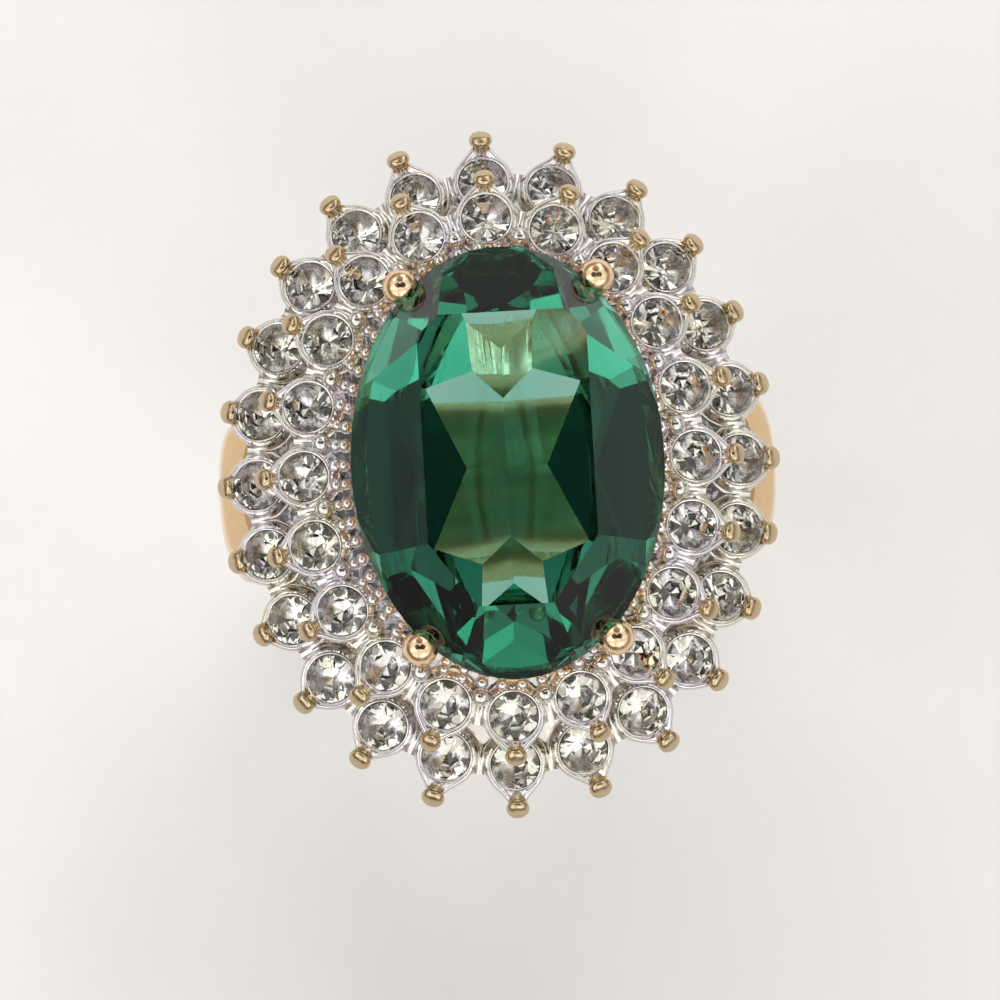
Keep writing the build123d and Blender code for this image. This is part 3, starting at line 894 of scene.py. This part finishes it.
# %% The grid of one tier
def tier_body(name, plan, *materials):
    samples = plan.count * PETAL_SAMPLES
    origin, outward = plan.around(samples)
    gaps = np.linalg.norm(origin[:, None, :] - plan.centres[None, :, :], axis=2)
    cup = np.argmin(gaps, axis=1)

    def spots(out):
        return origin[:, None, :] + outward[:, None, :] * out[..., None]

    def petals(out):
        cups = np.repeat(cup[:, None], out.shape[1], axis=1)
        return petals_at(plan, spots(out), cups)

    search = np.repeat(np.arange(-1.0, 3.2, 0.02)[None, :], samples, axis=0)
    whole = soft_min(petals(search)[0], search - BAND_EDGE, 0.15)

    def crossing(distance):
        """How far out the outline, moved by a distance, lies at each sample."""
        inside = whole < distance
        last = search.shape[1] - 1 - np.argmax(inside[:, ::-1], axis=1)
        rows = np.arange(samples)
        low, high = whole[rows, last], whole[rows, np.minimum(last + 1, search.shape[1] - 1)]
        return search[rows, last] + 0.02 * (distance - low) / np.maximum(high - low, 1e-6)

    rim = np.stack([crossing(d) for d in RIM_DISTANCES], 1)
    inner = np.full(samples, BAND_INSIDE)
    steps = np.linspace(0, 1, ACROSS_SAMPLES, endpoint=False)[None, :]
    top = np.concatenate([inner[:, None] + (rim[:, :1] - inner[:, None]) * steps, rim], 1)
    distance, level = petals(top)
    up = np.interp(distance, PROFILE_AT, PROFILE_UP) / math.cos(plan.lean)
    top_z = level + up
    slope = math.tan(plan.lean)
    depth = CUP_DEPTH / math.cos(plan.lean)

    def underside(out):
        return np.maximum(plan.level - depth - np.maximum(out, 0) * slope, plan.underside - 3)

    wall_out, wall_z = [], []
    for share, drop in ((0.12, 0.06), (0.35, 0.3), (0.7, 0.65), (0.9, 0.93)):
        out = crossing(-WALL_DRAFT * share)
        edge_z = top_z[:, -1]
        wall_out.append(out)
        wall_z.append(edge_z + (underside(out) - edge_z) * drop)
    bottom_out = crossing(-WALL_DRAFT - 0.06)
    under = [bottom_out + (inner + 0.06 - bottom_out) * share for share in (0, 0.25, 0.5, 0.75, 1)]
    outs = [*top.T, *wall_out, *under, inner, inner]
    inside_z = [underside(inner) + (top_z[:, 0] - underside(inner)) * share for share in (0.08, 0.85)]
    levels = [*top_z.T, *wall_z, *[underside(u) for u in under], *inside_z]
    outs, levels = np.stack(outs, 1), np.stack(levels, 1)
    flat = spots(outs)
    points = np.concatenate([flat, levels[..., None]], 2) * MM
    across = points.shape[1]
    index = np.arange(samples * across).reshape(samples, across)
    ahead = np.roll(index, -1, axis=0)
    faces = np.stack([index, np.roll(index, -1, 1), np.roll(ahead, -1, 1), ahead], 2)
    piece = make_piece(name, points.reshape(-1, 3).tolist(), faces.reshape(-1, 4).tolist(), *materials)
    bmesh_flip(piece)
    return piece


def bmesh_flip(piece):
    """Makes every face look outwards."""
    mesh = bmesh.new()
    mesh.from_mesh(piece.data)
    bmesh.ops.recalc_face_normals(mesh, faces=mesh.faces)
    mesh.to_mesh(piece.data)
    mesh.free()


# %% [markdown]
# ## Collets, posts and seats
#
# A thin lip is pushed over each crystal to hold it, and a post with a flattened gold bead stands at each
# petal's tip. Lips and posts are lathe work: `ringed` and `turned` make a whole row of them as one mesh,
# and one Boolean solders the row to the casting. The seats are drilled last, through lip and petal
# alike, a hair wider than the crystals, which leaves the thin dark line that every set stone has.


# %% Rows of small parts
def place_mm(point, axis, outward):
    """A place for lathe work drawn in millimetres."""
    return frame_at(point, axis, outward) @ Matrix.Scale(MM, 4)


def cup_frames(plan):
    """For each cup: its place, its axis, its outward direction along the leaning petal, and its reach."""
    for index, (centre, axis, _) in enumerate(plan.places):
        flat = Vector((*plan.outward[index], 0))
        outward = (flat - axis * flat.dot(axis)).normalized()
        yield centre, axis, outward, float(plan.reach[index])


def collet_row(plan):
    stock = Stock()
    r = crystal_radius / MM
    loop = [(r + 0.02, -0.3), (r + 0.16, -0.3), (r + 0.155, -0.02), (r + 0.13, 0.05), (r + 0.09, 0.085),
            (r + 0.05, 0.075), (r + 0.02, 0.04)]
    for centre, axis, outward, _ in cup_frames(plan):
        stock.ringed(loop, place_mm(centre, axis, outward))
    return stock.piece("collets")


def post_row(plan):
    stock = Stock()
    bead = plan.bead_radius
    neck = 0.66 * bead
    for centre, axis, outward, reach in cup_frames(plan):
        foot = centre + (outward * (reach - 0.80) - axis * 0.72) * MM
        head = centre + (outward * reach + axis * 0.22) * MM
        up = (head - foot).normalized()
        length = (head - foot).length / MM
        profile = [(0, 0), (neck * 1.15, 0), (neck * 1.05, 0.4 * length), (neck, length - 0.34),
                   (neck * 1.03, length - 0.24), (bead * 0.88, length - 0.20), (bead, length - 0.12),
                   (bead * 1.03, length - 0.02), (bead * 0.99, length + 0.08), (bead * 0.86, length + 0.165),
                   (bead * 0.62, length + 0.215), (bead * 0.3, length + 0.235), (0, length + 0.24)]
        stock.turned(profile, place_mm(foot, up, outward))
    return stock.piece("posts")


def seat_row(plan):
    stock = Stock()
    r = crystal_radius / MM + 0.035
    profile = [(0, -0.93), (0.07, -0.93), (r, -0.10), (r, 0.8), (0, 0.8)]
    for centre, axis, outward, _ in cup_frames(plan):
        stock.turned(profile, place_mm(centre, axis, outward), sides=48)
    return stock.piece("seats")


# %% [markdown]
# The two-tone plating follows the casting: the beads and their necks are gilded, and so is the outer
# wall below the rims, where the gold bath reached and the rhodium pen didn't. The value is written on
# the mesh points, so the material can read it at any size.


# %% Gilding and hand-made unevenness
def tier_gilding(piece, plan):
    count = len(piece.data.vertices)
    points = np.zeros(count * 3)
    piece.data.vertices.foreach_get("co", points)
    points = points.reshape(-1, 3) / MM
    gilding = np.zeros(count)
    for centre, axis, outward, reach in cup_frames(plan):
        offset = points - np.array(centre) / MM
        out, up = offset @ np.array(outward), offset @ np.array(axis)
        side = offset @ np.array(axis.cross(outward))
        near_post = np.hypot(out - reach - 0.1, side) < plan.bead_radius * 1.3
        gilding = np.maximum(gilding, np.where(near_post & (up > -0.02), 1.0, 0.0))
        own = np.hypot(out - 0.5 * reach, side) < 2.2
        low = np.clip((-0.28 - up) / 0.5, 0, 0.75)
        gilding = np.maximum(gilding, np.where(own & (out > 0.2), low, 0.0))
    attribute = piece.data.attributes.new("gilding", "FLOAT", "POINT")
    attribute.data.foreach_set("value", gilding.astype(np.float32))


def unevenness(piece, depth, lump):
    """Moves every point a little along its normal, by waves of about one lump's length."""
    mesh = piece.data
    count = len(mesh.vertices)
    points, normals = np.zeros(count * 3), np.zeros(count * 3)
    mesh.vertices.foreach_get("co", points)
    mesh.vertex_normals.foreach_get("vector", normals)
    points, normals = points.reshape(-1, 3), normals.reshape(-1, 3)
    waves = np.random.default_rng(11).normal(size=(7, 3))
    total = np.zeros(count)
    for number, wave in enumerate(waves):
        wave = wave / np.linalg.norm(wave) * 2 * np.pi / (lump * MM) * (0.7 + 0.12 * number)
        total += np.sin(points @ wave + 1.7 * number)
    points += normals * (total / len(waves) * depth * MM)[:, None]
    mesh.vertices.foreach_set("co", points.reshape(-1))
    mesh.update()


# %% The lower tier
def finish_tier(name, plan, slot, node, additions=()):
    body = tier_body(name, plan, two_tone)
    for row in (collet_row(plan), post_row(plan), *additions):
        joined(body, row)
    hollowed(body, seat_row(plan))
    unevenness(body, 0.014, 0.9)
    tier_gilding(body, plan)
    smooth(body, 42)
    return fitted(body, slot, node)


finish_tier("lower_tier_casting", lower_plan, "two_tone_plate", "lower_tier")

# %% [markdown]
# The upper tier carries more: a collar around the stone with a line of milgrain on its crest, two rows of
# small uneven grains beside it, and a domed grain between each pair of crystals. Each domed grain is the
# head of a leg that stands the tier on the lower one.


# %% Grains, legs and collar
def grain_row(plan):
    """A domed grain on a leg between each pair of crystals."""
    stock = Stock()
    points, outward = plan.around(plan.count, start=0.5, inset=0.72)
    foot = lower_low.z / MM + 0.7
    length = plan.level - foot
    profile = [(0, 0), (0.48, 0), (0.46, length - 0.9), (0.36, length - 0.5), (0.40, length - 0.12),
               (0.42, length + 0.06), (0.39, length + 0.22), (0.31, length + 0.36), (0.19, length + 0.45),
               (0.08, length + 0.48), (0, length + 0.485)]
    for point, out in zip(points, outward):
        spot = Vector((point[0] * MM, point[1] * MM, foot * MM))
        stock.turned(profile, place_mm(spot, Vector((0, 0, 1)), Vector((*out, 0))), sides=24)
    return stock.piece("grains")


def dome(radius, rows=10):
    """The profile of a round grain about its own middle."""
    turns = [math.pi * k / rows for k in range(rows + 1)]
    return [(radius * math.sin(turn), -radius * math.cos(turn)) for turn in turns]


def seed_row(plan):
    """Smaller grains in front of each crystal and beside each large grain, of uneven size."""
    stock = Stock()
    chance = random.Random(5)
    for inset, small, large in ((1.32, 0.22, 0.32), (1.68, 0.20, 0.27)):
        points, _ = plan.around(3 * plan.count, start=0.5, inset=inset)
        for point in points:
            radius = chance.uniform(small, large)
            spot = Vector((point[0], point[1], plan.level + chance.uniform(-0.04, 0.16))) * MM
            stock.turned(dome(radius), place_mm(spot, Vector((0, 0, 1)), spot), sides=18)
    return stock.piece("seeds")


def oval_wall(name, half_x, half_y, loop, samples, *materials):
    """A closed oval band. The loop is (outward, level) in millimetres about the oval."""
    points, faces = [], []
    count = len(loop)
    for step in range(samples):
        turn = 2 * math.pi * step / samples
        out = Vector((half_y * math.cos(turn), half_x * math.sin(turn), 0)).normalized()
        spot = Vector((half_x * math.cos(turn), half_y * math.sin(turn), 0))
        for outward, level in loop:
            points.append((spot + out * outward + Vector((0, 0, level))) * MM)
    for step in range(samples):
        here, there = step * count, (step + 1) % samples * count
        for k in range(count):
            after = (k + 1) % count
            faces.append((here + k, there + k, there + after, here + after))
    return make_piece(name, points, faces, *materials)


COLLAR_GAP = 0.18
COLLAR_WALL = 0.42
COLLAR_HEIGHT = 1.75
MILGRAIN = 52
MILGRAIN_INSET = 0.12
MILGRAIN_SMALL, MILGRAIN_LARGE = 0.27, 0.35


def collar_and_milgrain(plan):
    middle_x = STONE_X + COLLAR_GAP + COLLAR_WALL / 2
    middle_y = STONE_Y + COLLAR_GAP + COLLAR_WALL / 2
    low, top, half = plan.underside + 0.05, plan.underside + COLLAR_HEIGHT, COLLAR_WALL / 2
    loop = [(-half, low), (half, low), (half, top - 0.2), (0.6 * half, top - 0.04), (0, top),
            (-0.6 * half, top - 0.04), (-half, top - 0.2)]
    collar = oval_wall("collar", middle_x, middle_y, loop, 240)
    stock = Stock()
    chance = random.Random(3)
    for step in range(MILGRAIN):
        turn = 2 * math.pi * (step + chance.uniform(-0.12, 0.12)) / MILGRAIN
        radius = chance.uniform(MILGRAIN_SMALL, MILGRAIN_LARGE)
        spot = Vector(((middle_x - MILGRAIN_INSET) * math.cos(turn),
                       (middle_y - MILGRAIN_INSET) * math.sin(turn), top + 0.06)) * MM
        stock.turned(dome(radius), place_mm(spot, Vector((0, 0, 1)), spot), sides=20)
    return collar, stock.piece("milgrain")


finish_tier("upper_tier_casting", upper_plan, "two_tone_plate", "upper_tier",
            (grain_row(upper_plan), seed_row(upper_plan), *collar_and_milgrain(upper_plan)))

# %% [markdown]
# ## The claw basket
#
# The centre stone sits on a bearing rail and four claws hold it. A claw is drawn wire: it leaves the
# rail, leans outwards past the girdle and bends in over the edge of the crown, where it ends in a
# polished ball. The stone is cut out of the claws at the end, so each ball has the notch that a setter
# files for the girdle.

# %% Claws, rail and notches
CLAW_RADIUS = 0.5
BALL_RADIUS = 0.76
RAIL_UNDERCUT = 0.15
RAIL_WALL = 1.0
basket_low, basket_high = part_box("centre_basket")


def claw_tops():
    """The middles of the four balls, measured from the highest points of the basket's solid."""
    top = basket_high.z - BALL_RADIUS * MM
    groups = {}
    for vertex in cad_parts["centre_basket"].data.vertices:
        if vertex.co.z > basket_high.z - 0.25 * MM:
            key = (vertex.co.x > stone_middle.x, vertex.co.y > 0)
            groups.setdefault(key, []).append(vertex.co)
    return [sum(((Vector((p.x, p.y, 0))) for p in found), Vector()) / len(found) + Vector((0, 0, top))
            for found in groups.values()]


def claw_row(tops):
    stock = Stock()
    for top in tops:
        out = Vector((top.x - stone_middle.x, top.y, 0)).normalized()
        low = Vector((top.x, top.y, basket_low.z)) - out * 0.95 * MM
        shoulder = Vector((top.x, top.y, GIRDLE_MIDDLE)) + out * 0.04 * MM
        path = [low, low + (shoulder - low) * 0.45, shoulder - Vector((0, 0, 0.55 * MM)), shoulder, top]
        radii = [CLAW_RADIUS * share * MM for share in (1.1, 1.0, 0.95, 0.92, 0.8)]
        stock.drawn(smooth_path(path, 8), np.interp(np.linspace(0, 4, 33), range(5), radii))
    return stock.piece("claws")


def smooth_path(points, steps):
    """A rounded path through points (Catmull-Rom)."""
    ends = [points[0] * 2 - points[1], *points, points[-1] * 2 - points[-2]]
    path = []
    for a, b, c, d in zip(ends, ends[1:], ends[2:], ends[3:]):
        for step in range(steps):
            t = step / steps
            path.append((b * 2 + (c - a) * t + (a * 2 - b * 5 + c * 4 - d) * t**2
                         + (b * 3 - a - c * 3 + d) * t**3) / 2)
    return [*path, points[-1]]


def ball_row(tops):
    stock = Stock()
    for top in tops:
        out = Vector((top.x - stone_middle.x, top.y, 0)).normalized()
        up = (Vector((0, 0, 1)) - out * 0.25).normalized()
        flattened = Matrix.Diagonal((1, 1, 0.93, 1))
        stock.turned(dome(BALL_RADIUS, 24), place_mm(top, up, out) @ flattened, sides=48)
    return stock.piece("balls")


def finish_basket():
    low, high = basket_low.z / MM, GIRDLE_MIDDLE / MM - 0.1
    rail_x, rail_y = STONE_X - RAIL_UNDERCUT - RAIL_WALL / 2, STONE_Y - RAIL_UNDERCUT - RAIL_WALL / 2
    half = RAIL_WALL / 2
    loop = [(-half, low + 0.2), (-half + 0.2, low), (half - 0.2, low), (half, low + 0.2), (half, high - 0.12),
            (half - 0.1, high), (-half + 0.3, high), (-half, high - 0.3)]
    basket = oval_wall("claw_basket", rail_x, rail_y, loop, 200, claw_gold)
    basket.data.transform(Matrix.Translation((stone_middle.x, 0, 0)))
    tops = claw_tops()
    joined(basket, claw_row(tops))
    joined(basket, ball_row(tops))
    notch = bpy.data.objects["green_stone"].copy()
    notch.data = notch.data.copy()
    bpy.context.scene.collection.objects.link(notch)
    hollowed(basket, notch)
    smooth(basket, 50)
    return fitted(basket, "claw_gold", "centre_basket")


finish_basket()

# %% [markdown]
# ## Base and shank
#
# The open base is cast wire: an oval rail with struts that fan out to the lower tier. The shank is a
# hoop with a crowned outside, two shoulders that flare up to the head, and a saddle of two rounded bars on
# top. Where wires and shoulders meet, casting leaves soft fillets. Joining the parts as one skin with the
# Remesh modifier and smoothing it a little gives those fillets in one step. The finger hole is bored after
# that, so that it stays round, and the shoulders are trimmed where they enter the head.

# %% Cast skin
def cast(piece, voxel, rounds):
    remesh = piece.modifiers.new("skin", "REMESH")
    remesh.mode, remesh.voxel_size = "VOXEL", voxel * MM
    relax = piece.modifiers.new("relax", "SMOOTH")
    relax.factor, relax.iterations = 0.5, rounds
    apply_modifiers(piece)


# %% The base
BASE_RAIL_INSET_X, BASE_RAIL_INSET_Y = 4.8, 3.95
BASE_RAIL_WIDTH, BASE_RAIL_HEIGHT = 1.5, 0.9
STRUT_COUNT, STRUT_RADIUS = 12, 0.55


def finish_base():
    low, high = base_low.z / MM, base_high.z / MM
    half = BASE_RAIL_WIDTH / 2
    rail_x = lower_plan.half_x - BASE_RAIL_INSET_X - half
    rail_y = lower_plan.half_y - BASE_RAIL_INSET_Y - half
    loop = [(-half, low), (half, low), (half, low + BASE_RAIL_HEIGHT), (-half, low + BASE_RAIL_HEIGHT)]
    base = oval_wall("open_base", rail_x, rail_y, loop, 120, gold_plate)
    stock = Stock()
    feet, _ = around_oval(rail_x, rail_y, STRUT_COUNT, start=0.5)
    heads, _ = lower_plan.around(STRUT_COUNT, start=0.5, inset=1.0)
    for foot, head in zip(feet, heads):
        start = Vector((*foot, low + 0.45)) * MM
        end = Vector((*head, high - 0.05)) * MM
        waist = (start + end) / 2 - Vector((0, 0, 0.12 * MM))
        stock.drawn(smooth_path([start, waist, end], 5),
                    [r * STRUT_RADIUS * MM for r in np.interp(range(11), (0, 5, 10), (1.1, 0.85, 1.05))])
    joined(base, stock.piece("struts"))
    cast(base, 0.11, 4)
    unevenness(base, 0.02, 1.4)
    smooth(base, 80)
    return fitted(base, "gold_plate", "head_base")


finish_base()

# %% The shank
HOOP_WIDTH, HOOP_BACK_WIDTH, HOOP_WIDENING, HOOP_CROWN = 7.0, 3.2, 105, 0.5
HOOP_TOP_WIDTH = 5.7
SHOULDER_FLARE, SHOULDER_LEVEL, SHOULDER_WALL = 1.7, 4.6, 1.5
SHOULDER_ROOT_LEVEL, SHOULDER_TOP_WIDTH = -2.6, 5.0
SADDLE_HALF_X, SADDLE_HALF_Y = 3.6, 2.7
BAR_DEPTH, BAR_SHARE = 0.8, 0.52
SECTION_POINTS = 36


def ease(value):
    held = max(0.0, min(1.0, value))
    return held * held * (3 - 2 * held)


def band_section(middle, outward, across, half_width, half_wall, crown):
    """A rounded band section: soft corners and a crowned outside."""
    points = []
    for step in range(SECTION_POINTS):
        turn = 2 * math.pi * step / SECTION_POINTS
        side, out = math.cos(turn), math.sin(turn)
        side = math.copysign(abs(side) ** 0.55, side)
        out = math.copysign(abs(out) ** 0.55, out)
        drop = crown * side**2 if out > 0 else 0.0
        points.append((middle + across * side * half_width + outward * (out * half_wall - drop)) * MM)
    return points


def band(sections, closed):
    points = [p for section in sections for p in section]
    count, rows, faces = SECTION_POINTS, len(sections), []
    for row in range(rows if closed else rows - 1):
        here, there = row * count, (row + 1) % rows * count
        for k in range(count):
            after = (k + 1) % count
            faces.append((here + k, there + k, there + after, here + after))
    if not closed:
        faces.append(tuple(range(count)))
        faces.append(tuple((rows - 1) * count + k for k in reversed(range(count))))
    return points, faces


def hoop_sections(outer, inner):
    for step in range(144):
        turn = 2 * math.pi * step / 144 - math.pi / 2
        outward = Vector((math.cos(turn), 0, math.sin(turn)))
        from_back = 180 - abs(180 - math.degrees(turn + math.pi / 2))
        width = HOOP_BACK_WIDTH + (HOOP_WIDTH - HOOP_BACK_WIDTH) * ease(from_back / HOOP_WIDENING)
        width -= (HOOP_WIDTH - HOOP_TOP_WIDTH) * ease((from_back - 128) / 30)
        yield band_section(outward * (outer + inner) / 2, outward, Vector((0, 1, 0)), width / 2,
                           (outer - inner) / 2, HOOP_CROWN * 0.8)


def shoulder_sections(sign, outer):
    middle = SHOULDER_WALL / 2
    root_x = math.sqrt(outer**2 - SHOULDER_ROOT_LEVEL**2)
    top_z = shank_high.z / MM
    points = [Vector((root_x - middle + 0.15, 0, SHOULDER_ROOT_LEVEL)),
              Vector((outer + 0.62 * SHOULDER_FLARE - middle, 0, 0.28 * SHOULDER_LEVEL)),
              Vector((outer + SHOULDER_FLARE - middle, 0, SHOULDER_LEVEL)),
              Vector((outer + SHOULDER_FLARE + 0.1 - middle, 0, (SHOULDER_LEVEL + top_z) / 2 + 0.6)),
              Vector((lower_plan.half_x + 0.5 - middle, 0, top_z - 0.05))]
    path = smooth_path(points, 10)
    for row, point in enumerate(path):
        share = row / (len(path) - 1)
        along = (path[min(row + 1, len(path) - 1)] - path[max(row - 1, 0)]).normalized()
        outward = Vector((0, 1, 0)).cross(along)
        width = HOOP_WIDTH + (SHOULDER_TOP_WIDTH - HOOP_WIDTH) * ease(2 * share - 1)
        width *= 1 - 0.15 * (1 - ease(2 * share))
        mirrored_point = Vector((sign * point.x, point.y, point.z))
        mirrored_out = Vector((sign * outward.x, outward.y, outward.z))
        yield band_section(mirrored_point, mirrored_out, Vector((0, 1, 0)), width / 2, middle, 0.3)


def finish_shank():
    outer, inner = -shank_low.z / MM, bore_radius / MM
    hoop = make_piece("gold_shank", *band(list(hoop_sections(outer, inner - 0.3)), True), gold_plate)
    bmesh_flip(hoop)
    for sign in (1, -1):
        arm = make_piece("arm", *band(list(shoulder_sections(sign, outer)), False))
        bmesh_flip(arm)
        joined(hoop, arm)
    saddle_top = base_low.z / MM
    saddle = Stock()
    for side in (-1, 1):
        middle = Matrix.Translation((0, side * SADDLE_HALF_Y / 2 * MM, (saddle_top - BAR_DEPTH) * MM))
        bar = middle @ Matrix.Scale(MM, 4)
        stretch = Matrix.Diagonal((SADDLE_HALF_X / BAR_DEPTH, BAR_SHARE * SADDLE_HALF_Y / BAR_DEPTH, 1, 1))
        saddle.turned(dome(BAR_DEPTH, 16), bar @ stretch, sides=60)
    joined(hoop, saddle.piece("saddle"))
    cast(hoop, 0.15, 6)
    unevenness(hoop, 0.02, 2.2)
    bore = Stock()
    bore.turned([(0, -9), (inner, -9), (inner, 9), (0, 9)],
                Matrix.Rotation(math.pi / 2, 4, "X") @ Matrix.Scale(MM, 4), sides=256)
    hollowed(hoop, bore.piece("bore"))
    trim_high = lower_low.z / MM + 0.15
    lid = Stock()
    lid.turned([(0, trim_high), (20, trim_high), (20, trim_high + 5), (0, trim_high + 5)],
               Matrix.Scale(MM, 4))
    hollowed(hoop, lid.piece("lid"))
    smooth(hoop, 50)
    return fitted(hoop, "gold_plate", "shank")


finish_shank()

# %% [markdown]
# ## Floor and light
#
# The ring stands on pale matt paper. Polished metal and cut stones show only what surrounds them, so the
# light matters more than any setting of the material. A large soft window stands behind the ring and
# lights the floor, with two weak fill lights. Reflections and glass don't see these lamps: they see only
# the tent around the ring. The tent is pale, with soft folds, one brighter opening at the back and a few
# shaded places. The dark one overhead is the opening for the camera, and it gives beads and balls their
# small dark centres.

# %% The paper floor
FLOOR_HALF = 6.0
paper, paper_tree, paper_shader = new_material("studio paper", Roughness=0.75)
mottle = place_group(paper_tree, ripple, Lumps=45.0, Grain=900.0)
paper_tree.links.new(mix(paper_tree, fit(paper_tree, mottle.outputs["Height"], 0.35, 0.8),
                         (0.585, 0.58, 0.575), (0.64, 0.635, 0.63)), paper_shader.inputs["Base Color"])
floor_level = min(corner[2] for corner in cad_box)
corners = [(x * FLOOR_HALF, y * FLOOR_HALF, floor_level) for x, y in ((-1, -1), (1, -1), (1, 1), (-1, 1))]
floor = make_piece("floor", corners, [(0, 1, 2, 3)], paper)


# %% Soft lights
def softbox(name, spot, size, watts, colour):
    """A rectangular soft light that faces the head of the ring."""
    data = bpy.data.lights.new(name, "AREA")
    data.shape, data.size, data.size_y = "RECTANGLE", *size
    data.energy, data.color = watts, colour
    lamp = bpy.data.objects.new(name, data)
    lamp.location = spot
    towards = Vector((0, 0, lower_low.z)) - Vector(spot)
    lamp.rotation_euler = towards.to_track_quat("-Z", "Y").to_euler()
    lamp.visible_glossy = lamp.visible_transmission = False
    bpy.context.scene.collection.objects.link(lamp)


softbox("window", (0.02, 0.22, 0.20), (0.22, 0.16), 0.62, (1.0, 0.98, 0.96))
softbox("left fill", (-0.25, 0.0, 0.16), (0.12, 0.20), 0.22, (0.95, 0.97, 1.0))
softbox("front fill", (0.10, -0.25, 0.12), (0.20, 0.10), 0.15, (1.0, 0.95, 0.92))

# %% The tent around the ring
world = bpy.data.worlds.new("tent")
world.use_nodes = True
bpy.context.scene.world = world
tent = world.node_tree
cloth = tent.nodes["Background"]
direction = add(tent, "ShaderNodeTexCoord").outputs["Generated"]
folds = add(tent, "ShaderNodeTexNoise", Scale=1.7, Detail=1.5)
tent.links.new(direction, folds.inputs["Vector"])
brightness = fit(tent, folds.outputs["Fac"], 0.40, 0.60, 1.1, 2.3)
split = add(tent, "ShaderNodeSeparateXYZ")
tent.links.new(direction, split.inputs[0])
brightness = math_node(tent, "MULTIPLY", brightness, fit(tent, split.outputs["Z"], 0.30, 0.60, 0.20, 1.0))


# Openings that let light in: direction, edge and core in degrees, and how much brighter
TENT_WINDOWS = (((0.3, 0.9, 0.32), 16, 11, 1.2),)
# Dark places: the same, with how much of the light is taken away
TENT_SHADES = (((0, 0, 1), 9, 6.5, 0.96), ((0.28, 0.09, 0.95), 19, 13, 0.94),
               ((-0.28, 0.09, 0.95), 19, 13, 0.94), ((0, 0.7, 0.7), 24, 16, 0.8))


def patch(towards, edge, core):
    """A soft round region around a direction: 1 in its core and 0 outside its edge, in degrees."""
    nearness = add(tent, "ShaderNodeVectorMath", operation="DOT_PRODUCT")
    tent.links.new(direction, nearness.inputs[0])
    nearness.inputs[1].default_value = Vector(towards).normalized()
    edge_cosine, core_cosine = math.cos(math.radians(edge)), math.cos(math.radians(core))
    return fit(tent, nearness.outputs["Value"], edge_cosine, core_cosine)


for towards, edge, core, gain in TENT_WINDOWS:
    light_part = math_node(tent, "MULTIPLY", patch(towards, edge, core), gain)
    brightness = math_node(tent, "ADD", brightness, light_part)
for towards, edge, core, loss in TENT_SHADES:
    dark_part = math_node(tent, "MULTIPLY", patch(towards, edge, core), loss)
    open_part = math_node(tent, "SUBTRACT", 1.0, dark_part)
    brightness = math_node(tent, "MULTIPLY", brightness, open_part)
seen = add(tent, "ShaderNodeLightPath").outputs["Is Camera Ray"]
backdrop = add(tent, "ShaderNodeMix", data_type="FLOAT")
tent.links.new(seen, backdrop.inputs[0])
tent.links.new(brightness, backdrop.inputs[2])
backdrop.inputs[3].default_value = 0.85
tent.links.new(backdrop.outputs[0], cloth.inputs["Strength"])
cloth.inputs["Color"].default_value = (1.0, 0.985, 0.97, 1.0)
bpy.context.scene.view_settings.view_transform = "Standard"
